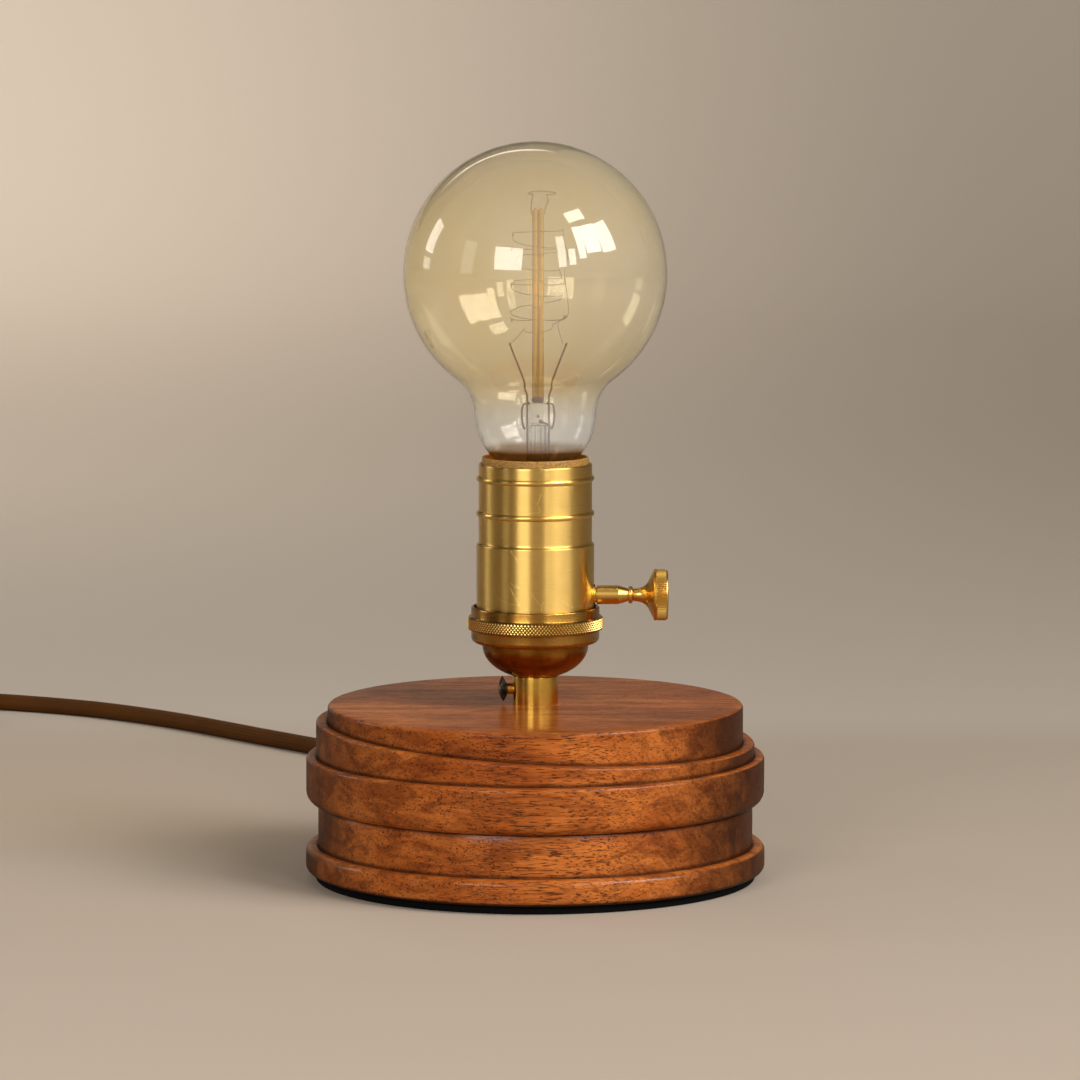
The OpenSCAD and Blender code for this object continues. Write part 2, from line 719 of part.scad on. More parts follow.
module screw_shell() {
    wall_r = thread_d / 2 + thread_depth + thread_clear + 0.5;
    color([0.76, 0.6, 0.3]) difference() {
        translate([0, 0, z_body_top]) cylinder(r = wall_r, h = screw_shell_h);
        thread_core(thread_d / 2 + thread_clear, z_body_top + shell_floor, z_screw_top + 1);
        translate([0, 0, z_body_top - 1]) cylinder(r = 8, h = 3);
        rivet_places() translate([0, 0, -1]) cylinder(r = rivet_r + run_fit, h = 3);
    }
}

module shell_rivets() {
    color([0.75, 0.6, 0.35]) rivet_places() {
        translate([0, 0, -rivet_len]) cylinder(r = rivet_r, h = rivet_len + shell_floor);
        translate([0, 0, shell_floor]) cylinder(r = rivet_r + 0.8, h = 0.6);
    }
}

module centre_contact() {
    color([0.8, 0.55, 0.3]) union() {
        translate([-6, -2.5, z_body_top]) cube([12, 5, contact_t]);
        translate([0, 0, z_body_top + 0.1]) cylinder(r = 2.2, h = contact_t + dimple_t - 0.1);
    }
}

module contact_leaf() {
    foot = z_axis + rotor_d / 2 + loose;
    color([0.78, 0.62, 0.36])
        translate([-leaf_w / 2, -leaf_t / 2, foot]) cube([leaf_w, leaf_t, z_body_top - foot]);
}

module terminal_screw(side) {
    rotate(side) translate([0, 0, z_terminal]) difference() {
        union() {
            along_y(pocket_y - terminal_len) cylinder(r = terminal_r, h = terminal_len + 0.6);
            along_y(pocket_y + 0.6) cylinder(r = 3.2, h = 2);
        }
        translate([-4, pocket_y + 1.6, -0.4]) cube([8, 2, 0.8]);
    }
}

module terminal_screw_hot() {
    color([0.8, 0.6, 0.25]) terminal_screw(0);
}

module terminal_screw_neutral() {
    color([0.72, 0.72, 0.7]) terminal_screw(180);
}

// ---- Switch ----

module switch_rotor() {
    color([0.14, 0.1, 0.08]) translate([0, 0, z_axis]) difference() {
        along_x(-rotor_in) cylinder(d = rotor_d, h = rotor_in + rotor_out);
        along_x(-rotor_in - 1)
            cylinder(r = stem_d / 2 + run_fit / 2, h = rotor_in + rotor_out + 2);
        for (side = [-1, 1])
            translate([rotor_out / 2 - 2, side * rotor_d / 2, 0]) cube([8, 4, 30], center = true);
    }
}

module switch_stem() {
    color([0.6, 0.58, 0.54]) translate([0, 0, z_axis])
        along_x(-stem_in) cylinder(d = stem_d, h = stem_in + stem_out);
}

module switch_knob() {
    neck = knob_neck_d / 2;
    sleeve = knob_sleeve_d / 2;
    grip = knob_d / 2;
    x0 = ferrule_face + 0.25;
    back = knob_reach - knob_t;
    color([0.74, 0.5, 0.2]) translate([0, 0, z_axis]) difference() {
        along_x(0) rotate_extrude() polygon(concat(
            [[0, x0], [sleeve - 0.2, x0], [sleeve, x0 + 0.2], [sleeve, back - 12.9]],
            [[neck, back - 9.5]],
            arc([neck - 0.2, back - 8.35], 0.85, -76, 76, 6),
            [[neck, back - 7.2], [neck, back - 6.2]],
            bezier([neck, back - 6.2], [neck + 0.3, back - 1.5], [grip - 3.5, back - 1.8],
                [grip - 0.6, back], 8),
            [[grip, back + 0.5], [grip, knob_reach - 0.7], [grip - 0.7, knob_reach - 0.2],
                [0, knob_reach]]));
        along_x(x0 - 1) cylinder(r = stem_d / 2 + run_fit / 2, h = stem_out - x0 + 1 + loose);
    }
}

// ---- Thumb screw ----

module thumb_screw_shank() {
    color([0.75, 0.55, 0.25]) translate([0, 0, z_thumb]) along_x(-thumb_reach)
        cylinder(d = thumb_d, h = thumb_reach - nipple_d / 2 - seat);
}

module thumb_screw_wing() {
    thick = wing_t / 2;
    color([0.05, 0.045, 0.04]) translate([0, 0, z_thumb]) intersection() {
        along_x(-thumb_reach - wing_t) rotate_extrude() polygon(concat(
            [[0, 0]], bezier([wing_h / 6, 0], [wing_h / 3, 0.3], [wing_h / 2.2, thick - 0.5],
                [wing_h / 2, thick - 0.2], 4),
            bezier([wing_h / 2, thick + 0.2], [wing_h / 2.2, thick + 0.5], [wing_h / 3, wing_t - 0.2],
                [thumb_d / 2 + 0.3, wing_t], 4),
            [[0, wing_t]]));
        cube([3 * thumb_reach, wing_w, wing_h + 1], center = true);
    }
}

// ---- Bulb ----

module bulb_cap() {
    color([0.74, 0.6, 0.34]) difference() {
        union() {
            thread_core(thread_d / 2, z_cap, z_cap_top - cap_rim_h);
            translate([0, 0, z_cap_top - cap_rim_h - 0.4])
                cylinder(r = thread_d / 2 + thread_depth + 0.15, h = cap_rim_h + 0.4);
        }
        translate([0, 0, z_cap + cap_floor]) cylinder(r = cap_bore, h = bulb_cap_h);
        translate([0, 0, z_cap - 1]) cylinder(r = 9, h = 4);
    }
}

module bulb_cement() {
    color([0.62, 0.56, 0.46]) translate([0, 0, z_skirt]) difference() {
        cylinder(r = cap_bore - run_fit, h = z_cap_top - z_skirt - 1);
        translate([0, 0, -1]) cylinder(r = skirt_r + run_fit, h = bulb_cap_h);
    }
}

module bulb_insulator() {
    color([0.03, 0.03, 0.035])
        rotate_extrude() polygon([[1.2, z_tip + tip_h + run_fit], [5.2, z_tip + tip_h + run_fit],
            [6.2, z_tip + tip_h + 1], [11.3, z_cap - 0.6], [11.3, z_cap],
            [9 - run_fit, z_cap], [9 - run_fit, z_cap + cap_floor], [1.2, z_cap + cap_floor]]);
}

module bulb_contact() {
    color([0.66, 0.66, 0.68])
        rotate_extrude() polygon(concat(
            [[0, z_tip]], arc([3.2, z_tip + 1.4], 1.4, -90, 0, 4),
            [[4.6, z_tip + tip_h], [0, z_tip + tip_h]]));
}

// Outline of the glass from the top of the globe down to its skirt, moved in by a wall
function glass_line(w) =
    let (r = globe_d / 2 - w, a1 = -asin(0.808), c = [0, z_globe],
        join = c + (globe_d / 2 - w) * [cos(a1), sin(a1)],
        neck = [neck_d / 2 - w, z_neck], foot = [13.2 - w, z_cap_top + 1.5])
    concat(
        arc(c, r, 90, a1, 26),
        bezier(join, join + 5.5 * [-0.808, -0.589], neck + [0.3, 5], neck, 8),
        bezier(neck, neck + [-0.8, -7.5], foot + [6.3, 6.5], foot, 8),
        [[skirt_r - w, z_cap_top - 0.4], [skirt_r - w, z_skirt]]);

module glass_envelope() {
    outer = glass_line(0);
    inner = glass_line(glass_t);
    color([0.85, 0.72, 0.45, 0.4]) rotate_extrude() polygon(concat(
        [for (i = [0:len(outer) - 1]) [max(outer[i][0], 0), outer[i][1]]],
        [for (i = [len(inner) - 1:-1:0]) [max(inner[i][0], 0), inner[i][1]]]));
}

module in_mount() {
    translate([mount_shift, 0, 0]) children();
}

module lead_holes() {
    for (side = [-1, 1]) translate([side * lead_x, 0, z_skirt - 2])
        cylinder(r = lead_d / 2 + run_fit, h = stem_rise + 3, $fn = 24);
}

module glass_stem() {
    flare_r = skirt_r - glass_t - mount_shift - 0.2;
    color([0.8, 0.8, 0.78, 0.5]) in_mount() difference() {
        rotate_extrude() polygon([[flare_r - 1.2, z_skirt], [flare_r, z_skirt],
            [flare_r, z_skirt + 1.2], [stem_r, z_stem], [stem_r, z_press],
            [stem_r - stem_t, z_press], [stem_r - stem_t, z_stem - 1.2]]);
        lead_holes();
    }
}

module glass_press() {
    color([0.8, 0.78, 0.72, 0.6]) in_mount() translate([-stem_r, -1.6, z_press])
        cube([2 * stem_r, 3.2, press_h]);
}

module exhaust_tube() {
    color([0.8, 0.78, 0.72, 0.5]) in_mount() difference() {
        translate([0, 0, z_cap + 6]) cylinder(r = 1.6, h = z_press - z_cap - 6);
        translate([0, 0, z_cap + 5]) cylinder(r = 0.9, h = z_press - z_cap);
    }
}

module glass_rod() {
    each_r = rod_w / 4 + 0.1;
    color([0.75, 0.5, 0.18, 0.8]) in_mount() for (side = [-1, 1])
        translate([side * (rod_w / 2 - each_r), 0, z_rod]) {
            cylinder(r = each_r, h = rod_len - each_r, $fn = 32);
            translate([0, 0, rod_len - each_r]) sphere(r = each_r, $fn = 32);
        }
}

// Height of the filament's rising half at a number of turns from its start
function cage_z(turns) = z_cage + (cage_h - 1.5) * turns / cage_turns;
function cage_at(angle, z) = [mount_shift + cage_r * cos(angle), cage_r * sin(angle), z];

filament_steps = 10;
filament_path = concat(
    [[-lead_top[0] + lead_d, 0, lead_top[1] + 0.5]],
    [for (i = [0:cage_turns * filament_steps])
        cage_at(180 + 360 * i / filament_steps, cage_z(i / filament_steps))],
    [for (i = [1:4]) cage_at(180 + 360 * cage_turns + 36 * i, z_cage_top - 1.5 + 1.5 * i / 4)],
    [cage_at(180 + 360 * cage_turns + 168, z_cage_top)],
    [for (i = [cage_turns * filament_steps:-1:0])
        cage_at(360 * i / filament_steps, cage_z(i / filament_steps))],
    [[lead_top[0] - lead_d, 0, lead_top[1] + 0.5]]);

module filament() {
    color([0.3, 0.2, 0.12]) tube(filament_path, filament_d / 2, 6);
}

// Hooks stand out of the rod just under the filament
module rod_hooks() {
    hook_r = 0.2;
    color([0.45, 0.35, 0.22]) for (turns = [0.5, 2, 3.5], side = [0, 180])
        let (z = cage_z(turns) - filament_d / 2 - hook_r - run_fit)
        translate([mount_shift, 0, z]) rotate(180 + 360 * turns + side) along_x(0)
            cylinder(r = hook_r, h = cage_r, $fn = 24);
}

// One wire: up from the rod, round in a ring that faces the top of the glass, and down again
module top_support() {
    ring_r = 4.9;
    wire_r = 0.25;
    rod_x = rod_w / 2 + wire_r + run_fit;
    z_low = z_rod_top - 2.3;
    z_high = z_rod_top + 5.4;
    ring = [for (i = [0:15]) let (a = 234 - 18 * i) [1.3 + ring_r * cos(a), ring_r * sin(a), z_high]];
    color([0.45, 0.33, 0.2]) in_mount() tube(concat(
        [[-rod_x, 0, z_low], [-rod_x, 0, z_low + 3], [-rod_x + 0.2, -1.4, z_low + 5.6]],
        ring,
        [[rod_x + 0.6, 1.2, z_low + 5], [rod_x, 0, z_low + 2.6], [rod_x, 0, z_low]]),
        wire_r, 6, [0, 1, 0]);
}

// Lead-in wires: up beside the stem, and out to the ends of the filament
function lead_path(side, foot) = let (x = mount_shift + side * lead_x) concat(
    foot,
    [[x, 0, z_cap + 5], [x, 0, z_rod + 0.6], [x - side * 0.35, 0, z_rod + 2.6],
        [x + side * 1.1, 0, z_rod + 7.5], [side * lead_top[0], 0, lead_top[1]]]);

module lead_wire_hot() {
    color([0.16, 0.1, 0.06])
        tube(lead_path(1, [[0, 0, z_tip + tip_h + seat], [0, 0, z_cap + 2.5]]), lead_d / 2, 8,
            [0, 1, 0]);
}

module lead_wire_neutral() {
    edge = cap_bore - lead_d / 2 - seat;
    color([0.16, 0.1, 0.06])
        tube(lead_path(-1, [[-edge, 0, z_cap + 2], [-edge + 0.4, 0, z_cap + 3.4]]), lead_d / 2, 8,
            [0, 1, 0]);
}

// ---- Cord outside the base ----

module cord_run() {
    color([0.42, 0.27, 0.08]) tube(cord_path, cord_r, 8);
}

// Radius and height of the coil after a number of turns
function turn_r(u) = coil_r - coil_pitch * min(u, coil_last - u);
function turn_z(u) = coil_z + coil_step * ease((u - coil_mid + 0.25) * 2);
function turn_at(u) = let (a = 90 + 360 * u)
    [coil_c[0] + turn_r(u) * cos(a), coil_c[1] + turn_r(u) * sin(a), turn_z(u)];
function coil_line(n) = concat(
    [coil_in],
    [for (i = [0:coil_last * n]) turn_at(i / n)],
    [[plug_x, tail_y, plug_z]]);

coil_path = coil_line(coil_rings);

// Least gap between stretches that lie at least half a turn apart
function least_gap(p, d, skip) =
    min([for (i = [0:len(p) - 1 - skip], j = [i + skip:len(p) - 1]) norm(p[i] - p[j])]) - d;
function path_len(p) = len(p) < 2 ? 0 : [for (i = 1, s = norm(p[1] - p[0]); i < len(p);
    i = i + 1, s = i < len(p) ? s + norm(p[i] - p[i - 1]) : s) s][len(p) - 2];

echo("least gap of the coil to itself", least_gap(coil_path, cord_d, coil_rings / 2));
echo("least gap of the filament to itself", least_gap(filament_path, filament_d, 2));
echo("length of the cord outside the base",
    path_len(cord_path) + path_len(coil_path) + tail_len);

module cord_coil() {
    color([0.42, 0.27, 0.08]) tube(coil_path, cord_r, 6);
}

module cord_ties() {
    slack = 0.3;
    color([0.05, 0.05, 0.05]) for (start = tie_turns) {
        radii = [for (u = [start:1:coil_last]) turn_r(u)];
        low = min(radii) - cord_r - slack;
        high = max(radii) + cord_r + slack;
        z_high = coil_z + coil_step + cord_r + slack;
        translate([coil_c[0], coil_c[1], 0]) rotate(90 + 360 * start) difference() {
            translate([low - tie_t, -tie_w / 2, 0])
                cube([high - low + 2 * tie_t, tie_w, z_high + tie_t]);
            translate([low, -tie_w, tie_t]) cube([high - low, 2 * tie_w, z_high - tie_t]);
        }
    }
}

module cord_tail() {
    color([0.42, 0.27, 0.08]) tube([[plug_x, tail_y, plug_z], [plug_x, tail_y - tail_len / 2, plug_z],
        [plug_x, sleeve_y, plug_z]], cord_r, 8);
}

// ---- Plug ----

// The plug's pieces are drawn along +Z from its cord to its blades
module on_plug(y) {
    translate([plug_x, y, plug_z]) rotate([90, 0, 0]) children();
}

module plug_sleeve() {
    ribs = 3;
    color([0.07, 0.06, 0.05]) on_plug(sleeve_y) difference() {
        cylinder(r1 = cord_r + 0.9, r2 = cord_r + 2.9, h = sleeve_len);
        for (i = [1:ribs], side = [-1, 1])
            translate([side * 6.2, 0, 4 + 4.5 * i]) cube([3, 14, 1.6], center = true);
    }
}

module plug_body() {
    r = plug_d / 2;
    color([0.09, 0.07, 0.05]) on_plug(body_y) difference() {
        rotate_extrude() polygon(concat(
            [[0, 0]], bezier([cord_r + 3.2, 0], [cord_r + 3.6, 7], [r - 0.8, 6], [r - 0.4, 14], 8),
            [[r - 0.4, 15], [r - 1.4, 15.6], [r - 1.4, 17.4], [r - 0.4, 18],
                [r - 0.4, plug_len - plug_cover_t], [0, plug_len - plug_cover_t]]));
        plug_screw_places() translate([0, 0, -6]) cylinder(r = 1.1 + run_fit, h = 7);
    }
}

module plug_cover() {
    color([0.12, 0.1, 0.08]) on_plug(body_y) difference() {
        rotate_extrude() polygon(concat(
            [[0, plug_len - plug_cover_t], [plug_d / 2, plug_len - plug_cover_t]],
            arc([plug_d / 2 - 1, plug_len - 1], 1, 0, 90, 4),
            [[0, plug_len]]));
        blade_places() translate([0, 0, plug_len - plug_cover_t - 1])
            linear_extrude(plug_cover_t + 2) square([blade_t + 0.2, blade_w + 0.2], center = true);
        plug_screw_places() {
            translate([0, 0, -1]) cylinder(r = 1.1 + run_fit, h = plug_cover_t + 2);
            translate([0, 0, plug_cover_t - 1.2]) cylinder(r = 2.2, h = 2);
        }
    }
}

module blade_places() {
    for (side = [-1, 1]) translate([side * blade_gap / 2, 0, 0]) children();
}

module plug_screw_places() {
    for (side = [-1, 1]) translate([0, side * 8, plug_len - plug_cover_t]) children();
}

module plug_blades() {
    z0 = plug_len - plug_cover_t;
    color([0.82, 0.66, 0.34]) on_plug(body_y) blade_places() difference() {
        union() {
            translate([-blade_t / 2, -blade_w / 2, z0])
                cube([blade_t, blade_w, plug_cover_t + blade_len - 1]);
            translate([-blade_t / 2, -blade_w / 2 + 1, z0 + 1])
                cube([blade_t, blade_w - 2, plug_cover_t + blade_len - 1]);
        }
        translate([0, 0, plug_len + blade_len - 4.2]) along_x(-blade_t)
            cylinder(r = 1.6, h = 2 * blade_t);
    }
}

module plug_screws() {
    color([0.75, 0.72, 0.6]) on_plug(body_y) plug_screw_places() {
        translate([0, 0, -5.5]) cylinder(r = 1.1, h = 5.5 + plug_cover_t - 1.2);
        translate([0, 0, plug_cover_t - 1.2]) difference() {
            cylinder(r = 2.1, h = 1.1);
            translate([-3, -0.35, 0.5]) cube([6, 0.7, 2]);
        }
    }
}

wood_base();
base_pad();
nipple();
nipple_washer();
nipple_nut();
nipple_bushing();
cord_inner();
cord_clamp();
clamp_screws();
strain_relief();
wire_hot();
wire_neutral();
cap_hub();
socket_cap();
cap_disc();
lock_ring();
socket_shell();
shell_ferrule();
insulating_liner();
switch_housing();
rotor_bearing();
screw_shell();
shell_rivets();
centre_contact();
contact_leaf();
terminal_screw_hot();
terminal_screw_neutral();
switch_rotor();
switch_stem();
switch_knob();
thumb_screw_shank();
thumb_screw_wing();
bulb_cap();
bulb_cement();
bulb_insulator();
bulb_contact();
glass_envelope();
glass_stem();
glass_press();
exhaust_tube();
glass_rod();
rod_hooks();
top_support();
filament();
lead_wire_hot();
lead_wire_neutral();
cord_run();
cord_coil();
cord_ties();
cord_tail();
plug_sleeve();
plug_body();
plug_cover();
plug_blades();
plug_screws();
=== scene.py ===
from math import acos, asin, copysign, cos, degrees, pi, radians, sin, tan, tau
import bmesh
import bpy
from mathutils import Matrix, Vector, noise


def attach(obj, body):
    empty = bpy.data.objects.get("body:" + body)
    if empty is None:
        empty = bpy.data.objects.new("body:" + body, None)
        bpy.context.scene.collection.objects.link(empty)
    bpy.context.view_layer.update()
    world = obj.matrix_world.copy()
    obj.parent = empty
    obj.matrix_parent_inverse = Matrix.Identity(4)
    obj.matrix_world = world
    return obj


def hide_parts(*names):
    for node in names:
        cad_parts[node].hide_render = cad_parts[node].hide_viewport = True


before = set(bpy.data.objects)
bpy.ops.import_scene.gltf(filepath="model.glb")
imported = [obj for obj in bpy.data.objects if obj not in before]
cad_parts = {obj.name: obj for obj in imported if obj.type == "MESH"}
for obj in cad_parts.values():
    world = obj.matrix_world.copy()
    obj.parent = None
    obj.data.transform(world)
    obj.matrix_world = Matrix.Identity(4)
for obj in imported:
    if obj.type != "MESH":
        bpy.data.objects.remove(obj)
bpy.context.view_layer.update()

# Table lamp with a stepped wooden base, a brass socket and a clear amber globe bulb.
# Sizes are millimetres unless a comment says otherwise; +X points to the switch knob, +Y to the
# cord outlet. The camera looks along +Y.

mm = 0.001
standing = Matrix.Identity(4)
paints = {}  # every finish by its name


class Sizes(dict):  # a dictionary whose values also read as attributes
    __getattr__ = dict.__getitem__


def onX(z):  # turns a piece made along Z so that it lies along +X
    return Matrix.Translation((0, 0, z)) @ Matrix.Rotation(radians(90), 4, "Y")


def onY(x, y, z, angle=-90):  # ... along +Y, or along -Y for an angle of 90
    return Matrix.Translation((x, y, z)) @ Matrix.Rotation(radians(angle), 4, "X")


# Camera: place in metres, tilt in degrees

view = Sizes(lens=193.33, sensor=36, place=(0.0017, -2.085, 0.3607), tilt=83.5, far=40)

lens = bpy.data.cameras.new("camera")
lens.lens, lens.sensor_width, lens.clip_end = view.lens, view.sensor, view.far
camera = bpy.data.objects.new("camera", lens)
camera.location = view.place
camera.rotation_euler = (radians(view.tilt), 0, 0)
bpy.context.collection.objects.link(camera)
bpy.context.scene.camera = camera
print("camera placed")


# Nodes: a wrapped socket takes Python's operators, and every node comes from one method

class Wire:
    def __init__(self, nodes, socket):
        self.nodes, self.socket = nodes, socket

    def op(self, name, *rest):
        return self.nodes.add("Math", dict(enumerate((self, *rest))), operation=name)

    def __add__(self, other): return self.op("ADD", other)
    def __sub__(self, other): return self.op("SUBTRACT", other)
    def __mul__(self, other): return self.op("MULTIPLY", other)
    def __truediv__(self, other): return self.op("DIVIDE", other)
    def __mod__(self, other): return self.op("FLOORED_MODULO", other)
    def __rsub__(self, other): return self.nodes.add("Math", {0: other, 1: self}, operation="SUBTRACT")
    def __abs__(self): return self.op("ABSOLUTE")
    def __neg__(self): return self.op("MULTIPLY", -1)

    def out(self, name):  # another output of the same node
        return Wire(self.nodes, self.socket.node.outputs[name])

    def smooth(self, low, high):  # 0 below low, 1 above high, eased between
        if low > high:
            return 1 - self.smooth(high, low)
        return self.nodes.add("MapRange", {"Value": self, "From Min": low, "From Max": high},
                              interpolation_type="SMOOTHSTEP")


class Nodes:
    def __init__(self, tree):
        self.tree = tree

    def add(self, kind, sockets=None, out=0, **settings):
        # a kind that doesn't say which sort of node it is means a shader node
        node = self.tree.nodes.new(kind if "Node" in kind else "ShaderNode" + kind)
        for key, value in settings.items():
            setattr(node, key, value)
        for key, value in (sockets or {}).items():
            if isinstance(value, Wire):
                self.tree.links.new(value.socket, node.inputs[key])
            else:
                node.inputs[key].default_value = value
        return Wire(self, node.outputs[out] if node.outputs else None)


class Paint(Nodes):
    def __init__(self, name):
        paints[name] = bpy.data.materials.new(name)
        paints[name].use_nodes = True
        super().__init__(paints[name].node_tree)
        self.tree.nodes.clear()
        self.spot = self.add("TexCoord", out="Object")

    def mapped(self, scale=(1, 1, 1), turn=(0, 0, 0), move=(0, 0, 0)):
        # object coordinates in millimetres, moved and turned, then stretched
        placed = self.add("Mapping", {"Vector": self.spot, "Scale": (1 / mm,) * 3, "Location": move,
                                      "Rotation": tuple(radians(a) for a in turn)})
        return self.add("VectorMath", {0: placed, 1: scale}, operation="MULTIPLY")

    def parts(self, vector=None):
        x = self.add("SeparateXYZ", {0: vector or self.mapped()}, "X")
        return x, x.out("Y"), x.out("Z")

    def noise(self, scale, stretch=(1, 1, 1), detail=3, rough=0.55, warp=0, **place):
        return self.add("TexNoise", {"Vector": self.mapped(stretch, **place), "Scale": scale,
                                     "Detail": detail, "Roughness": rough, "Distortion": warp})

    def cells(self, scale, stretch=(1, 1, 1), feature="F1", **place):
        return self.add("TexVoronoi", {"Vector": self.mapped(stretch, **place), "Scale": scale},
                        "Distance", feature=feature)

    def mix(self, amount, first, second, blend="MIX"):
        first, second = (c if isinstance(c, Wire) else (*c, 1) for c in (first, second))
        return self.add("Mix", {0: amount, 6: first, 7: second}, 2, data_type="RGBA", blend_type=blend)

    def finish(self, sockets, height=None, depth=0):
        if height is not None:  # depth is millimetres of height for a value of 1
            sockets["Normal"] = self.add("Bump", {
                "Height": height, "Distance": depth * mm, "Strength": 1.0})
        self.add("OutputMaterial", {"Surface": self.add("BsdfPrincipled", sockets)})


# Outlines are lists of (radius, height); paths are lists of points

def arc(x, z, r, start, end, steps=8):
    angles = [radians(start + (end - start) * i / steps) for i in range(steps + 1)]
    return [(x + r * cos(a), z + r * sin(a)) for a in angles]


def corner(x, z, r, steps=8):  # rounds the edge between a wall at x and a top at z
    return arc(x - r, z - r, r, 0, 90, steps)


def bezier(a, b, c, d, steps=10):
    a, b, c, d = map(Vector, (a, b, c, d))
    curve = []
    for i in range(steps + 1):
        t = i / steps
        s = 1 - t
        curve.append(tuple(s ** 3 * a + 3 * s * s * t * b + 3 * s * t * t * c + t ** 3 * d))
    return curve


def throughPoints(points, step):  # a smooth path through the points, about step apart
    points = [Vector(p) for p in points]
    ends = [2 * points[0] - points[1]] + points + [2 * points[-1] - points[-2]]
    path = []
    for a, b, c, d in zip(ends, ends[1:], ends[2:], ends[3:]):
        count = max(1, round((c - b).length / step))
        for i in range(count):
            t = i / count
            path.append(0.5 * (2 * b + (c - a) * t + (2 * a - 5 * b + 4 * c - d) * t * t
                               + (3 * b - 3 * c + d - a) * t ** 3))
    return path + [points[-1]]


# Meshes

def solid(name, bm, paint, place=standing, sharp=35, outward=True):
    # turns a bmesh in millimetres into an object at the origin, in metres
    bmesh.ops.transform(bm, matrix=Matrix.Scale(mm, 4) @ place, verts=bm.verts)
    if outward:
        bmesh.ops.recalc_face_normals(bm, faces=bm.faces)
    for edge in bm.edges:
        edge.smooth = edge.calc_face_angle(0) < radians(sharp)
    for face in bm.faces:
        face.smooth = True
    mesh = bpy.data.meshes.new(name)
    bm.to_mesh(mesh)
    bm.free()
    mesh.materials.append(paints[paint])
    piece = bpy.data.objects.new(name, mesh)
    bpy.context.collection.objects.link(piece)
    return piece


def skin(bm, rings, ends=True):  # faces between neighbouring rings of vertices
    for low, high in zip(rings, rings[1:]):
        for k in range(len(low)):
            n = (k + 1) % len(low)
            bm.faces.new((low[k], low[n], high[n], high[k]))
    if ends:
        bm.faces.new(rings[0])
        bm.faces.new(rings[-1])


def turnInto(bm, outline, segments, shape=None, centre=0):
    # spins an outline round an upright axis at x = centre; shape may move a point by its angle
    rings = []
    for point in outline:
        ring = []
        for k in range(1 if point[0] < 1e-6 else segments):
            a = tau * k / segments
            r, h = shape(point, a) if shape else point
            ring.append(bm.verts.new((centre + r * cos(a), r * sin(a), h)))
        rings.append(ring)
    pairs = list(zip(rings, rings[1:]))
    if len(rings[0]) > 1 and len(rings[-1]) > 1:
        pairs.append((rings[-1], rings[0]))
    for low, high in pairs:
        for k in range(segments):
            n = (k + 1) % segments
            loop = [low[k % len(low)], low[n % len(low)], high[n % len(high)], high[k % len(high)]]
            loop = [v for i, v in enumerate(loop) if v not in loop[:i]]
            if len(loop) > 2:
                bm.faces.new(loop)


def lathe(name, outline, paint, segments, shape=None, **rest):
    bm = bmesh.new()
    turnInto(bm, outline, segments, shape)
    return solid(name, bm, paint, **rest)


def wear(piece, body, slot, *nodes):
    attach(piece, body)
    if nodes:
        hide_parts(*nodes)
    return piece


def turned(name, outline, paint, segments, body, slot, *nodes, **rest):
    return wear(lathe(name, outline, paint, segments, **rest), body, slot, *nodes)


# Cord: one silk-covered lead from the base, round the coil, to the plug

cord = Sizes(width=7, sides=20, step=1.5, braid=16, coilRadius=48, pitch=7.7, climb=7.6, low=4.6,
             turns=5.25, perTurn=24, tail=40, route=[
    (0, 80, 19.5), (0, 91, 19.5), (0, 103, 19.5), (0, 118, 19), (0, 133, 16.5), (0, 148, 12.2),
    (-1, 162, 7.8), (-4, 176, 4.8), (-9, 190, 3.6), (-16, 203, 3.5), (-24, 215.5, 3.5),
    (-33.5, 227.5, 3.5), (-43.5, 239, 3.5), (-53.5, 250.5, 3.5), (-63.5, 262, 3.5),
    (-73.5, 273.5, 3.5), (-83.5, 285, 3.5), (-93.5, 297, 3.5), (-104, 309.5, 3.5),
    (-115, 322.5, 3.5), (-126, 336, 3.5), (-137.5, 350, 3.5), (-149.5, 364, 3.5),
    (-162.5, 377.5, 3.5), (-176.5, 390.5, 3.5), (-191.5, 402.5, 3.5), (-207.5, 412.5, 3.5),
    (-224, 420.5, 3.6), (-241, 426, 3.9), (-257, 429.5, 4.3), (-273, 431, 4.6), (-289, 431, 4.6)])

coilX, coilY = cord.route[-1][0] - cord.width, cord.route[-1][1] - cord.coilRadius


def coilRadius(turn):
    return cord.coilRadius - cord.pitch * min(turn, cord.turns - turn)


def coilPoint(turn):
    angle = radians(90 + 360 * turn)
    rise = min(max((turn - cord.turns / 2 + 0.25) * 2, 0), 1)
    return (coilX + coilRadius(turn) * cos(angle), coilY + coilRadius(turn) * sin(angle),
            cord.low + cord.climb * (1 - cos(pi * rise)) / 2)


plugX, tailY = coilX - cord.coilRadius, coilY - cord.width
plugZ, sleeveY = cord.low + cord.climb, tailY - cord.tail
cordRoute = (cord.route + [coilPoint(i / cord.perTurn) for i in range(int(cord.turns * cord.perTurn) + 1)]
             + [(plugX, y, plugZ) for y in (tailY, (tailY + sleeveY) / 2, sleeveY)])


